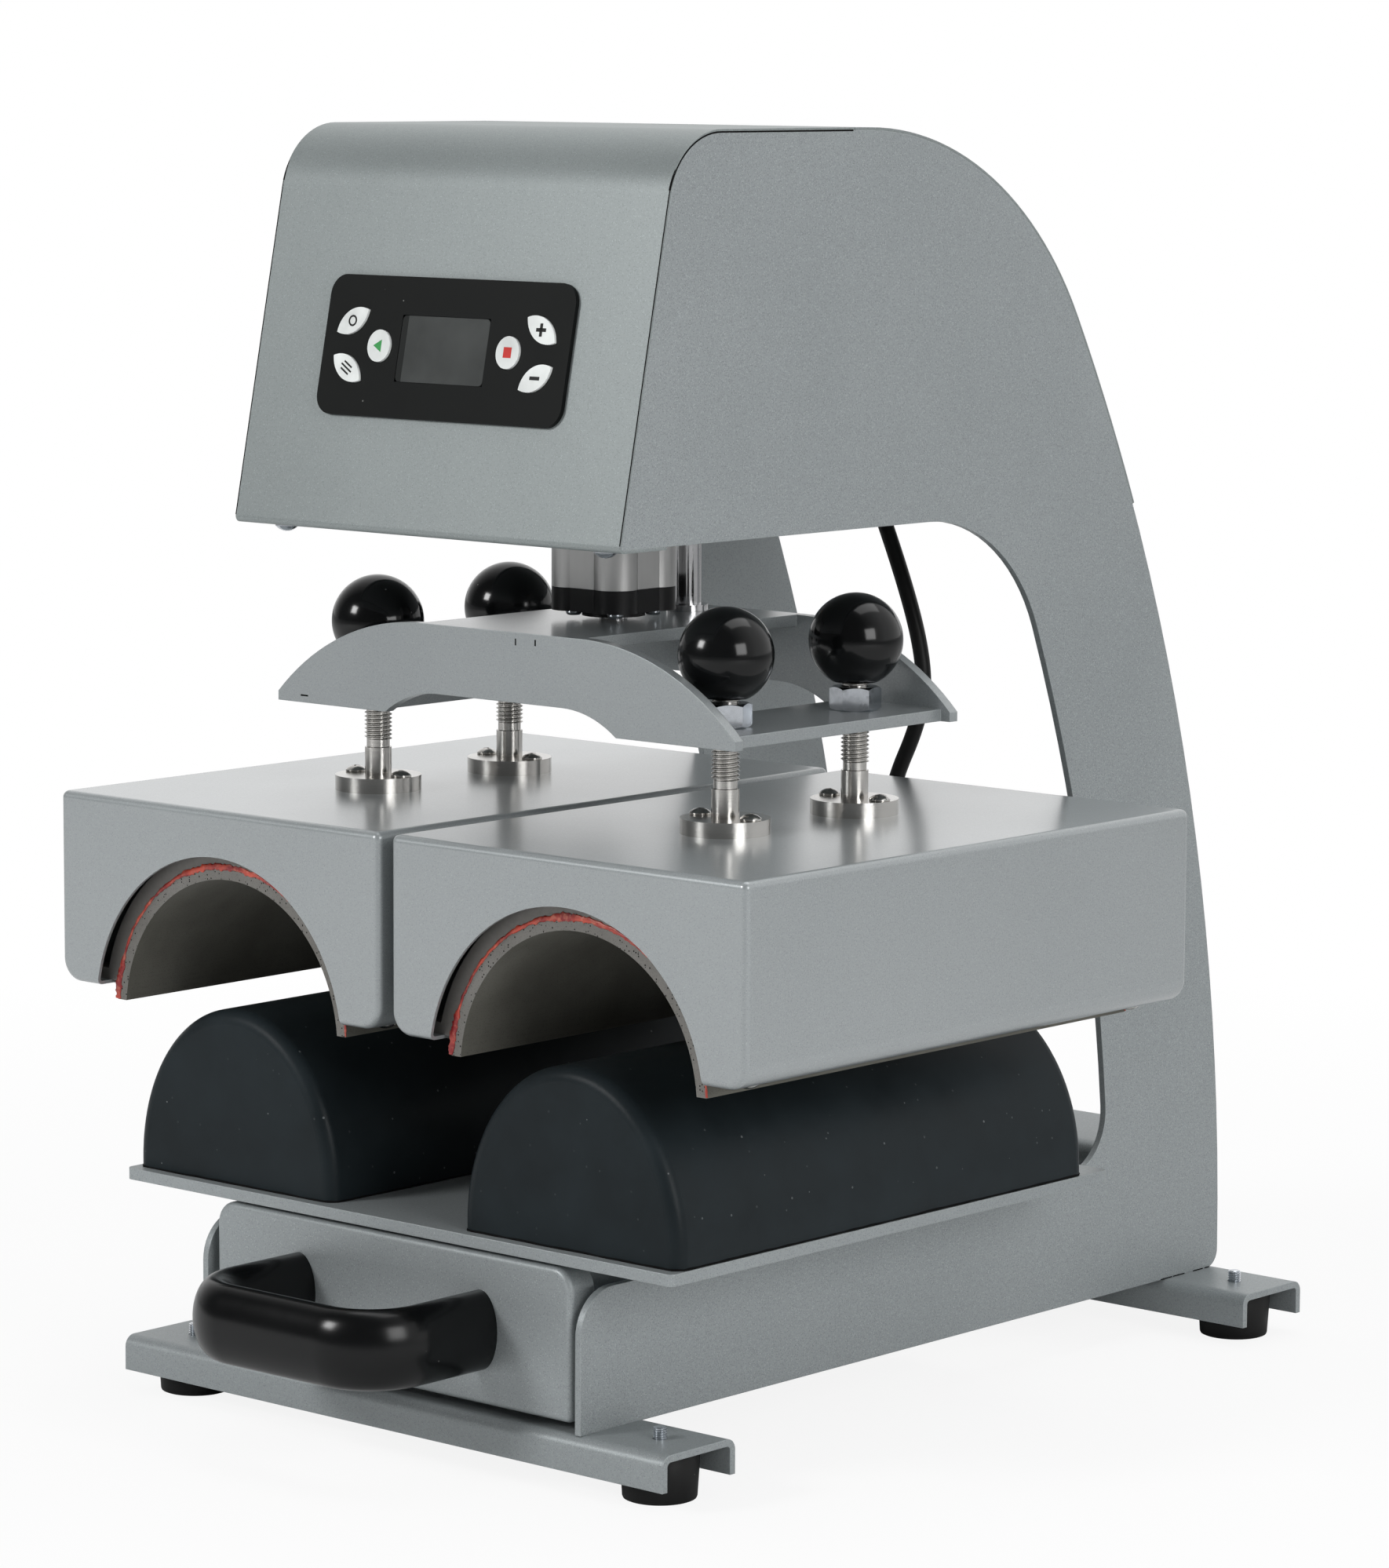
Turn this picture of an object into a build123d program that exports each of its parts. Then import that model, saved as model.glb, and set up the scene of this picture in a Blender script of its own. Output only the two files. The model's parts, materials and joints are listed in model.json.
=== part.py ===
from build123d import *
import os
from math import acos, asin, cos, degrees, pi, radians, sin, sqrt, tan

os.makedirs("parts", exist_ok=True)

# Shin guard heat press, in millimetres.
# x runs across the machine, y from the operator to the back, z up from the floor.
# Heights are worked out from the floor up through the frame, and the press head
# hangs down from the head of the frame.

# Clearances
fit_gap = 0.05        # radial, of rods, studs and trunnions in their bores
slide_gap = 0.3       # between faces that pass each other

# Feet and cross channels
foot_drop = 9.0       # how far the rubber reaches below the channel
foot_top_r = 16.5
foot_bottom_r = 15.25
foot_edge_r = 1.0
foot_x = 135.0
foot_stud_r = 3.0
foot_stud_above = 5.0
channel_w = 44.0
channel_h = 15.0
channel_t = 3.0
channel_bend = 5.0
channel_len = 312.0
front_channel_y = -162.0
rear_channel_y = 230.0

# Side plates
plate_t = 3.0
frame_w = 219.0
frame_front = -181.5
frame_depth = 433.0
bar_h = 59.0
window_h = 297.0      # from the lower bar to the underside of the head
head_h = 165.0
bar_corner_r = 19.0
window_corner_r = 25.0
rear_corner_r = 8.0
back_r1 = 164.0       # upper and lower arc of the rear outline
back_r2 = 853.0
back_end_h = 9.8      # plumb stretch at the foot of the rear outline
window_y = 168.3      # rear edge of the window where its arc ends
window_r1 = 81.8
window_r2 = 757.2
window_end_h = 16.4   # that end above the cross channels

# Rear deck between the columns
deck_front = 178.0
deck_rear = 245.0
deck_above = 6.0      # deck above the lower bars
deck_h = 48.0
deck_t = 2.0
deck_bend = 8.0

# Covers
cover_t = 1.2
head_front = -160.0   # y of the sloping front at the underside of the head
head_slope = 11.7     # degrees from the vertical
head_corner_r = 32.0
cover_bend_r = 2.5
cover_flange = 28.5
cover_seam_y = -16.2
cover_seam = 0.5

# Head floor and cylinder beam
floor_t = 3.0
floor_front = -145.0
floor_rear = 155.0
floor_flange = 22.0
floor_bend = 5.0
beam_t = 6.0
beam_depth = 66.0
beam_flange = 30.0
beam_bend = 9.0

# Air cylinder and guide rod
press_y = -42.5
stroke = 50.0
barrel_w = 43.0
barrel_corner_r = 9.5
barrel_side_w = 40.0
barrel_below = 29.0   # silver barrel seen under the head
barrel_end_t = 6.0
bore_r = 16.0
bore_spare = 8.0      # bore length left over at the two ends of the stroke
cap_h = 10.0
cap_boss_r = 13.5
cap_boss_h = 2.5
cap_boss_gap = 1.5
rod_r = 6.0
rod_thread_r = 5.0
piston_h = 12.0
guide_y = 5.0
guide_collar_r = 9.0
guide_collar_h = 3.0
guide_rod_spare = 33.0
guide_tip = 1.0
bush_r = 10.5
bush_len = 30.0
bush_flange_r = 16.0
bush_flange_t = 4.0

# Bridge that carries the platens
bridge_t = 5.0
bridge_depth = 143.0
bridge_h = 39.5
bridge_flat = 46.0    # half of the flat top
bridge_r = 119.5
bridge_half = 131.0
bridge_under = 29.5   # depth of the arch plate at its middle
bridge_under_flat = 36.0
bridge_under_r = 51.0
seat_in = 73.0
seat_out = 126.0

# Adjusting studs, lock nuts, ball knobs and flanges
stud_dy = 41.5
stud_r = 6.0
stud_neck_r = 5.0
stud_neck_h = 3.4
stud_spigot_r = 4.0
stud_drop = 39.0      # underside of the bridge above the platens
nut_af = 19.0
nut_h = 10.0
knob_r = 20.0
knob_flat = 17.5      # ball centre above its flat
knob_lift = 2.0       # that flat above the lock nut
knob_thread = 22.0
flange_r = 18.75
flange_h = 6.5
flange_floor = 0.5
hub_r = 5.8
hub_h = 12.0
flange_screw_at = 13.7
screw_head_r = 4.5
screw_head_h = 2.8
screw_edge_h = 0.9
screw_shank_r = 2.0

# Platens
platen_gap = 7.0
platen_w = 193.0
platen_depth = 288.0
platen_front = -182.0
platen_h = 83.0
platen_t = 1.5
platen_top_r = 3.0
platen_low_r = 10.0
arch_side = 21.5      # housing left at each side of the arch
arch_drop = 12.0      # centre of the arch below the housing
liner_in = 10.5       # liner bore smaller than the arch
liner_t = 5.2
liner_below = 6.5
liner_gap = 0.4
shell_t = 7.5
shell_recess = 8.0
shell_foot_t = 5.0
shell_screw_in = 12.0
gland_side = 16.5     # from the side of the platen
gland_up = 36.5       # above the underside of the housing
gland_r = 7.0
gland_neck_r = 5.5
gland_nut_h = 4.0
gland_out = 12.0      # elbow of the gland behind the housing
gland_rise = 12.0
gland_bend_r = 6.5
gland_inside = 4.0

# Table, formers and drawer
table_gap = 9.5       # table underside above the side bars
table_t = 5.0
table_w = 315.4
table_front = -181.0
table_depth = 284.7
table_corner_r = 3.0
former_x = 97.0
former_w = 119.0
former_h = 75.0
former_foot_h = 4.0
former_inset = 5.5
former_len = 264.0
former_edge_r = 6.0
front_side = 6.9      # front inside the outer faces of the side plates
front_h = 63.5
front_t = 1.5
front_below = 1.5     # drawer front below the table
front_y = -180.0
front_return = 14.0
front_corner_r = 10.0
front_low_r = 3.0
front_edge_r = 2.5
tray_t = 1.5
tray_floor_gap = 6.0  # tray above the cross channels
tray_flange = 15.0
tray_bend = 3.0
tray_front_gap = 1.0  # front end of the tray below the top return of the front
tray_rear = 100.0
drawer_travel = 280.0
handle_span = 105.0
handle_reach = 72.0
handle_thick = 19.0
handle_tall = 33.5
handle_bend_r = 24.0
handle_up = -0.5      # above the middle of the drawer front

# Telescopic rails
rail_w = 12.7
rail_h = 45.0
rail_t = 1.2
rail_lap = 20.0       # length still engaged with the drawer fully out
rail_lip = 12.0       # depth of the outer member
rail_low_gap = 10.5   # rails above the cross channels
rail_front = -164.5
rail_mid_in = 4.6     # web of the middle member from the side plate
rail_mid_w = 6.0
rail_inner_w = 5.6

# Control panel on the slope
panel_w = 139.0
panel_h = 59.0
panel_up = 76.5       # its centre, measured up the slope
panel_r = 8.5
panel_t = 2.0
panel_rim = 4.0
panel_wall = 2.0
panel_deep = 8.0
screen_w = 50.0
screen_h = 28.0
screen_x = -0.9
screen_up = -0.5
screen_t = 1.2
key_proud = 1.0
key_tail = 5.0
leaf_len = 19.3
leaf_wide = 9.6
leaf_tilt = 31.0
oval_rx = 6.4
oval_ry = 6.75
key_leaf_x = 53.5
key_oval_x = 36.6
key_leaf_up = 9.9
board_t = 1.6
board_drop = 6.0

# Power inlet with rocker, and air fitting, on the rear cover
service_up = 40.0     # above the underside of the head
inlet_x = 55.0
inlet_w = 60.0
inlet_h = 28.0
inlet_t = 2.5
inlet_body_w = 50.0
inlet_body_h = 22.0
inlet_deep = 22.0
inlet_corner_r = 3.0
socket_at = -9.0
socket_w = 24.0
socket_h = 16.0
socket_deep = 15.0
socket_pin_w = 4.0
socket_pin_t = 2.0
socket_pin_apart = 14.0
socket_earth_up = 5.0
rocker_at = 16.0
rocker_w = 12.4
rocker_r = 8.2
rocker_rise = 2.0
rocker_dip = 1.5
rocker_room = 1.0     # below the rocker in its opening
rocker_pin_r = 1.0
rocker_pin_len = 1.5
fitting_x = -60.0
fitting_af = 14.0
fitting_hex_h = 5.0
fitting_body_r = 6.0
fitting_body_h = 13.0
fitting_ring_r = 4.6
fitting_ring_h = 3.0
fitting_tube_r = 3.05
fitting_thread_r = 4.8
fitting_thread_h = 9.0

# Valve and relay on the head floor
valve_x = -72.0
valve_y = -95.0
valve_w = 26.0
valve_len = 66.0
valve_h = 24.0
coil_w = 22.0
coil_len = 30.0
coil_h = 32.0
coil_at = -16.5
coil_corner_r = 3.0
relay_x = 70.0
relay_y = -105.0
relay_w = 45.0
relay_len = 58.0
relay_h = 23.0
sink_t = 4.0

# Heater cable, held by the head floor and the gland of the right platen
cable_r = 3.5
cable_hole_r = 6.0
cable_route = [
    (20, 118, 224),
    (20, 118, 246),
    (40.5, 118, 286),
    (39.5, 119, 312),
    (24, 120, 352),
    (9, 120, 383),
]

# Heights and lines that follow from the sizes above
channel_top = foot_drop + channel_h
foot_top = channel_top - channel_t
bar_top = channel_top + bar_h
head_z = bar_top + window_h
plate_top = head_z + head_h
frame_rear = frame_front + frame_depth
plate_in = frame_w / 2 - plate_t
cover_top = plate_top + cover_t
cap_top = head_z - barrel_below
cap_low = cap_top - cap_h
bridge_top = cap_low - cap_boss_h - cap_boss_gap
bridge_low = bridge_top - bridge_h
bridge_front = press_y - bridge_depth / 2
bridge_rear = press_y + bridge_depth / 2
seat_top = bridge_low + bridge_t
bore_top = cap_top + stroke + piston_h + 2 * bore_spare
barrel_top = bore_top + barrel_end_t
piston_low = bore_top - bore_spare - piston_h
platen_top = bridge_low - stud_drop
platen_low = platen_top - platen_h
platen_x = (platen_w + platen_gap) / 2
arch_r = platen_w / 2 - arch_side
liner_r = arch_r - liner_in
gland_in = platen_w / 2 - gland_side
platen_rear = platen_front + platen_depth
arch_z = platen_low - arch_drop
stud_foot = platen_top + flange_floor + fit_gap
hub_top = platen_top + flange_h + hub_h
knob_z = seat_top + nut_h + knob_lift + knob_flat
table_low = bar_top + table_gap
table_top = table_low + table_t
front_w = frame_w - 2 * front_side
front_top = table_low - front_below
handle_z = front_top - front_h / 2 + handle_up
tray_half = plate_in - rail_w
rail_len = drawer_travel + rail_lap
tray_low = channel_top + tray_floor_gap
rail_z = channel_top + rail_low_gap + rail_h / 2
deck_top = bar_top + deck_above
slope = radians(head_slope)


def facing(y):
    """Plane across the machine at y: local x is x, local y is z."""
    return Plane(origin=(0, y, 0), x_dir=(1, 0, 0), z_dir=(0, -1, 0))


def write(builder, name):
    """Label the finished piece and write its file."""
    builder.part.label = name
    export_step(builder.part, "parts/" + name + ".step")


# Rubber feet, each with its moulded-in stud
with BuildPart() as one_foot:
    with BuildSketch(Plane.XZ):
        with BuildLine():
            Polyline(
                (0, 0),
                (foot_bottom_r, 0),
                (foot_top_r, foot_top),
                (foot_stud_r, foot_top),
                (foot_stud_r, channel_top + foot_stud_above),
                (0, channel_top + foot_stud_above),
                close=True,
            )
        make_face()
    revolve(axis=Axis.Z)
    fillet(one_foot.edges().sort_by(Axis.Z)[0], radius=foot_edge_r)
with BuildPart() as rubber_feet:
    for foot_y in (front_channel_y, rear_channel_y):
        with Locations((-foot_x, foot_y), (foot_x, foot_y)):
            add(one_foot.part)
write(rubber_feet, "rubber_feet")


def cross_channel(y):
    """Bent channel, open below, with a hole for each foot stud."""
    with BuildPart() as channel:
        with BuildSketch(Plane.YZ.offset(-channel_len / 2)):
            with BuildLine():
                FilletPolyline(
                    (y - channel_w / 2, foot_drop),
                    (y - channel_w / 2, channel_top),
                    (y + channel_w / 2, channel_top),
                    (y + channel_w / 2, foot_drop),
                    radius=channel_bend,
                )
                offset(amount=channel_t, side=Side.RIGHT)
            make_face()
        extrude(amount=channel_len)
        with BuildSketch(Plane.XY.offset(foot_top)):
            with Locations((-foot_x, y), (foot_x, y)):
                Circle(foot_stud_r + fit_gap)
        extrude(amount=channel_t, mode=Mode.SUBTRACT)
    return channel


front_channel = cross_channel(front_channel_y)
write(front_channel, "front_channel")
rear_channel = cross_channel(rear_channel_y)
write(rear_channel, "rear_channel")


# Side plates: the rear outline and the window are each a pair of tangent arcs
def arc_turn(top_z, end_z, r1, r2):
    """Angle of the upper arc that bends a level line at top_z down to a plumb end."""
    return acos((top_z - end_z - r1) / (r2 - r1))


def arc_start(end_y, turn, r1, r2):
    """y at which such a pair of arcs leaves its level line."""
    return end_y - r1 * sin(turn) - r2 * (1 - sin(turn))


def arc_pair(start, turn, r1, r2):
    """The upper arc through turn and the lower arc that ends plumb."""
    upper = JernArc(start=start, tangent=(1, 0), radius=r1, arc_size=-degrees(turn))
    return JernArc(
        start=upper @ 1, tangent=upper % 1, radius=r2, arc_size=degrees(turn) - 90)


back_end_z = channel_top + back_end_h
back_turn = arc_turn(plate_top, back_end_z, back_r1, back_r2)
back_y = arc_start(frame_rear, back_turn, back_r1, back_r2)
window_end_z = channel_top + window_end_h
window_turn = arc_turn(head_z, window_end_z, window_r1, window_r2)
window_front_y = arc_start(window_y, window_turn, window_r1, window_r2)
plate_head_front = head_front + cover_t / cos(slope)
plate_top_front = plate_head_front + head_h * tan(slope)


def side_plate(x0):
    """C-shaped plate: lower bar, curved column and head."""
    with BuildPart() as plate:
        with BuildSketch(Plane.YZ.offset(x0)) as outline:
            with BuildLine():
                back = arc_pair((back_y, plate_top), back_turn, back_r1, back_r2)
                Polyline(
                    back @ 1,
                    (frame_rear, channel_top),
                    (frame_front, channel_top),
                    (plate_head_front, head_z),
                    (plate_top_front, plate_top),
                    (back_y, plate_top),
                )
            make_face()
            with BuildLine():
                inner = arc_pair(
                    (window_front_y, head_z), window_turn, window_r1, window_r2)
                Polyline(
                    inner @ 1,
                    (frame_front - channel_w, window_end_z),
                    (frame_front - channel_w, head_z),
                    (window_front_y, head_z),
                )
            make_face(mode=Mode.SUBTRACT)
            with BuildLine():
                Polyline(
                    (frame_front, channel_top),
                    (window_y + channel_w, channel_top),
                    (window_y + channel_w, window_end_z),
                    (window_y, window_end_z),
                    (window_y, bar_top),
                    (frame_front, bar_top),
                    close=True,
                )
            make_face()
            window_corner = outline.vertices().sort_by_distance((window_y, bar_top))[0]
            fillet(window_corner, radius=window_corner_r)
            front_corner = outline.vertices().sort_by_distance((frame_front, bar_top))[0]
            fillet(front_corner, radius=bar_corner_r)
            low_corner = outline.vertices().sort_by_distance((frame_rear, channel_top))[0]
            fillet(low_corner, radius=rear_corner_r)
            top_corner = outline.vertices().sort_by_distance((plate_top_front, plate_top))[0]
            fillet(top_corner, radius=head_corner_r - cover_t)
            lip_corner = outline.vertices().sort_by_distance((plate_head_front, head_z))[0]
            fillet(lip_corner, radius=cover_bend_r - cover_t)
        extrude(amount=plate_t)
    return plate


left_side_plate = side_plate(-frame_w / 2)
write(left_side_plate, "left_side_plate")
right_side_plate = side_plate(plate_in)
write(right_side_plate, "right_side_plate")

# Rear deck: inverted channel between the columns, behind the drawer
with BuildPart() as rear_deck:
    with BuildSketch(Plane.YZ.offset(-plate_in)):
        with BuildLine():
            FilletPolyline(
                (deck_front, deck_top - deck_h),
                (deck_front, deck_top),
                (deck_rear, deck_top),
                (deck_rear, deck_top - deck_h),
                radius=deck_bend,
            )
            offset(amount=deck_t, side=Side.RIGHT)
        make_face()
    extrude(amount=2 * plate_in)
write(rear_deck, "rear_deck")

# Planes on the sloping front and on the rear curve of the covers
front_slope = Plane(
    origin=(0, head_front, head_z), x_dir=(1, 0, 0), z_dir=(0, -cos(slope), sin(slope)))
rear_centre_y = frame_rear - back_r2
rear_out_r = back_r2 + cover_t
rear_angle = asin((head_z + service_up - back_end_z) / rear_out_r)
rear_slope = Plane(
    origin=(
        0,
        rear_centre_y + rear_out_r * cos(rear_angle),
        back_end_z + rear_out_r * sin(rear_angle),
    ),
    x_dir=(-1, 0, 0),
    z_dir=(0, cos(rear_angle), sin(rear_angle)),
)

# Front cover: bottom return flange, sloping front and top up to the seam
cover_low = head_z - cover_t
with BuildPart() as front_cover:
    with BuildSketch(Plane.YZ.offset(-frame_w / 2)):
        with BuildLine():
            FilletPolyline(
                (head_front + cover_flange, cover_low),
                (head_front - cover_t * tan(slope), cover_low),
                (head_front + (head_h + cover_t) * tan(slope), cover_top),
                (cover_seam_y, cover_top),
                radius=[cover_bend_r, head_corner_r],
            )
            offset(amount=cover_t, side=Side.RIGHT)
        make_face()
    extrude(amount=frame_w)
    with BuildSketch(front_slope):
        with Locations((0, panel_up)):
            RectangleRounded(
                panel_w - 2 * panel_rim + 2 * fit_gap,
                panel_h - 2 * panel_rim + 2 * fit_gap,
                panel_r - panel_rim + fit_gap,
            )
    extrude(amount=-2 * cover_t, mode=Mode.SUBTRACT)
write(front_cover, "front_cover")

# Rear cover: follows the curved back of the head
rear_low_angle = asin((head_z - back_end_z) / rear_out_r)
with BuildPart() as rear_cover:
    with BuildSketch(Plane.YZ.offset(-frame_w / 2)):
        with BuildLine():
            Line((cover_seam_y + cover_seam, cover_top), (back_y, cover_top))
            top_arc = JernArc(
                start=(back_y, cover_top),
                tangent=(1, 0),
                radius=back_r1 + cover_t,
                arc_size=-degrees(back_turn),
            )
            JernArc(
                start=top_arc @ 1,
                tangent=top_arc % 1,
                radius=rear_out_r,
                arc_size=-degrees(pi / 2 - back_turn - rear_low_angle),
            )
            offset(amount=cover_t, side=Side.RIGHT)
        make_face()
    extrude(amount=frame_w)
    with BuildSketch(rear_slope):
        with Locations((inlet_x, 0)):
            Rectangle(inlet_body_w + 2 * fit_gap, inlet_body_h + 2 * fit_gap)
        with Locations((fitting_x, 0)):
            Circle(fitting_thread_r + fit_gap)
    extrude(amount=-4 * cover_t, mode=Mode.SUBTRACT)
write(rear_cover, "rear_cover")

# Head floor: closes the head below, with holes for barrel, bush and cable
with BuildPart() as head_floor:
    with BuildSketch(facing(floor_front)):
        with BuildLine():
            FilletPolyline(
                (-plate_in, head_z + floor_flange),
                (-plate_in, head_z),
                (plate_in, head_z),
                (plate_in, head_z + floor_flange),
                radius=floor_bend,
            )
            offset(amount=floor_t, side=Side.LEFT)
        make_face()
    extrude(amount=floor_front - floor_rear)
    with BuildSketch(Plane.XY.offset(head_z)):
        with Locations((0, press_y)):
            RectangleRounded(
                barrel_w + 2 * slide_gap,
                barrel_w + 2 * slide_gap,
                barrel_corner_r + slide_gap,
            )
        with Locations((0, guide_y)):
            Circle(bush_r)
        with Locations(cable_route[-1][:2]):
            Circle(cable_hole_r)
    extrude(amount=floor_t, mode=Mode.SUBTRACT)
write(head_floor, "head_floor")

# Cylinder beam: bent plate between the side plates that holds the barrel
with BuildPart() as cylinder_beam:
    with BuildSketch(facing(press_y - beam_depth / 2)):
        with BuildLine():
            FilletPolyline(
                (-plate_in, barrel_top + beam_flange),
                (-plate_in, barrel_top),
                (plate_in, barrel_top),
                (plate_in, barrel_top + beam_flange),
                radius=beam_bend,
            )
            offset(amount=beam_t, side=Side.LEFT)
        make_face()
    extrude(amount=-beam_depth)
write(cylinder_beam, "cylinder_beam")


def barrel_section():
    """Square section with a round column at each corner."""
    corner = barrel_w / 2 - barrel_corner_r
    Rectangle(barrel_side_w, 2 * corner)
    Rectangle(2 * corner, barrel_side_w)
    with Locations((-corner, -corner), (-corner, corner), (corner, -corner), (corner, corner)):
        Circle(barrel_corner_r)


# Cylinder barrel, bored from below
with BuildPart() as cylinder_barrel:
    with BuildSketch(Plane(origin=(0, press_y, cap_top))):
        barrel_section()
    extrude(amount=barrel_top - cap_top)
    with BuildSketch(Plane(origin=(0, press_y, cap_top))):
        Circle(bore_r)
    extrude(amount=bore_top - cap_top, mode=Mode.SUBTRACT)
write(cylinder_barrel, "cylinder_barrel")

# Black front cap of the cylinder with its rod boss
with BuildPart() as cylinder_cap:
    with BuildSketch(Plane(origin=(0, press_y, cap_low))):
        barrel_section()
    extrude(amount=cap_h)
    with BuildSketch(Plane(origin=(0, press_y, cap_low))):
        Circle(cap_boss_r)
    extrude(amount=-cap_boss_h)
    with BuildSketch(Plane(origin=(0, press_y, cap_top))):
        Circle(rod_r + fit_gap)
    extrude(amount=-cap_h - cap_boss_h, mode=Mode.SUBTRACT)
write(cylinder_cap, "cylinder_cap")

# Piston rod with its piston, screwed into the bridge
with BuildPart() as piston_rod:
    with BuildSketch(Plane(origin=(0, press_y, bridge_top))):
        Circle(rod_r)
    extrude(amount=piston_low - bridge_top)
    with BuildSketch(Plane(origin=(0, press_y, piston_low))):
        Circle(bore_r - fit_gap)
    extrude(amount=piston_h)
    with BuildSketch(Plane(origin=(0, press_y, bridge_top))):
        Circle(rod_thread_r)
    extrude(amount=-bridge_t)
write(piston_rod, "piston_rod")

# Guide rod with its collar, and the flanged bush that it runs in
with BuildPart() as guide_rod:
    with BuildSketch(Plane(origin=(0, guide_y, bridge_top))):
        Circle(rod_r)
    extrude(amount=head_z + floor_t + stroke + guide_rod_spare - bridge_top)
    with BuildSketch(Plane(origin=(0, guide_y, bridge_top))):
        Circle(guide_collar_r)
    extrude(amount=guide_collar_h)
    with BuildSketch(Plane(origin=(0, guide_y, bridge_top))):
        Circle(rod_thread_r)
    extrude(amount=-bridge_t)
    chamfer(guide_rod.edges().sort_by(Axis.Z)[-1], length=guide_tip)
write(guide_rod, "guide_rod")
with BuildPart() as guide_bush:
    with BuildSketch(Plane(origin=(0, guide_y, head_z))):
        Circle(bush_r)
    extrude(amount=bush_len)
    with BuildSketch(Plane(origin=(0, guide_y, head_z + floor_t))):
        Circle(bush_flange_r)
    extrude(amount=bush_flange_t)
    with BuildSketch(Plane(origin=(0, guide_y, head_z))):
        Circle(rod_r + fit_gap)
    extrude(amount=bush_len, mode=Mode.SUBTRACT)
write(guide_bush, "guide_bush")

# Bridge: two arch plates, a top plate and two seat plates, welded
stud_spots = [(sx * platen_x, press_y + sy * stud_dy) for sx in (-1, 1) for sy in (-1, 1)]
bridge_turn = asin((bridge_half - bridge_flat) / bridge_r)
bridge_end_z = bridge_top - bridge_r * (1 - cos(bridge_turn))
under_z = bridge_top - bridge_under
under_turn = acos(1 - (under_z - bridge_low) / bridge_under_r)
with BuildPart() as bridge:
    for arch_y in (bridge_front, bridge_rear - bridge_t):
        with BuildSketch(facing(arch_y)):
            with BuildLine():
                crown = JernArc(
                    start=(bridge_flat, bridge_top),
                    tangent=(1, 0),
                    radius=bridge_r,
                    arc_size=-degrees(bridge_turn),
                )
                throat = JernArc(
                    start=(bridge_under_flat, under_z),
                    tangent=(1, 0),
                    radius=bridge_under_r,
                    arc_size=-degrees(under_turn),
                )
                Polyline(crown @ 1, (bridge_half, bridge_low), throat @ 1)
                Polyline(
                    (bridge_flat, bridge_top),
                    (0, bridge_top),
                    (0, under_z),
                    (bridge_under_flat, under_z),
                )
            make_face()
            mirror(about=Plane.YZ)
        extrude(amount=-bridge_t)
    with BuildSketch(Plane(origin=(0, press_y, bridge_top))):
        Rectangle(2 * bridge_flat, bridge_depth - 2 * bridge_t)
    extrude(amount=-bridge_t)
    for side in (-1, 1):
        seat_mid = side * (seat_in + seat_out) / 2
        with BuildSketch(Plane(origin=(seat_mid, press_y, bridge_low))):
            Rectangle(seat_out - seat_in, bridge_depth - 2 * bridge_t)
        extrude(amount=bridge_t)
    with BuildSketch(Plane.XY.offset(bridge_low)):
        with Locations(*stud_spots):
            Circle(stud_r + fit_gap)
    extrude(amount=bridge_t, mode=Mode.SUBTRACT)
    with BuildSketch(Plane.XY.offset(bridge_top)):
        with Locations((0, press_y), (0, guide_y)):
            Circle(rod_thread_r)
    extrude(amount=-bridge_t, mode=Mode.SUBTRACT)
write(bridge, "bridge")

# Hexagon lock nuts on the bridge, corners turned off
with BuildPart() as one_nut:
    with BuildSketch(Plane.XY.offset(seat_top)):
        RegularPolygon(radius=nut_af / 2, side_count=6, major_radius=False)
        Circle(stud_r + fit_gap, mode=Mode.SUBTRACT)
    extrude(amount=nut_h)
with BuildPart() as lock_nuts:
    with Locations(*stud_spots):
        add(one_nut.part)
write(lock_nuts, "lock_nuts")

# Adjusting studs: thread, neck and the spigot that turns in the flange
with BuildPart() as one_stud:
    with BuildSketch(Plane.XZ):
        with BuildLine():
            Polyline(
                (0, stud_foot),
                (stud_spigot_r, stud_foot),
                (stud_spigot_r, hub_top + fit_gap),
                (stud_neck_r, hub_top + fit_gap),
                (stud_neck_r, hub_top + stud_neck_h),
                (stud_r, hub_top + stud_neck_h + stud_r - stud_neck_r),
                (stud_r, knob_z - knob_flat + knob_thread),
                (0, knob_z - knob_flat + knob_thread),
                close=True,
            )
        make_face()
    revolve(axis=Axis.Z)

# Ball knobs with a flat and a blind hole for the stud
with BuildPart() as one_knob:
    with BuildSketch(Plane.XZ):
        with BuildLine():
            flat_r = sqrt(knob_r**2 - knob_flat**2)
            ThreePointArc(
                (flat_r, knob_z - knob_flat), (knob_r, knob_z), (0, knob_z + knob_r))
            Polyline(
                (0, knob_z + knob_r),
                (0, knob_z - knob_flat + knob_thread),
                (stud_r, knob_z - knob_flat + knob_thread),
                (stud_r, knob_z - knob_flat),
                (flat_r, knob_z - knob_flat),
            )
        make_face()
    revolve(axis=Axis.Z)

stud_names = ["left_front", "left_rear", "right_front", "right_rear"]
for spot, place in zip(stud_spots, stud_names):
    with BuildPart() as stud:
        with Locations(spot):
            add(one_stud.part)
    write(stud, place + "_stud")
    with BuildPart() as knob:
        with Locations(spot):
            add(one_knob.part)
    write(knob, place + "_knob")

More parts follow.
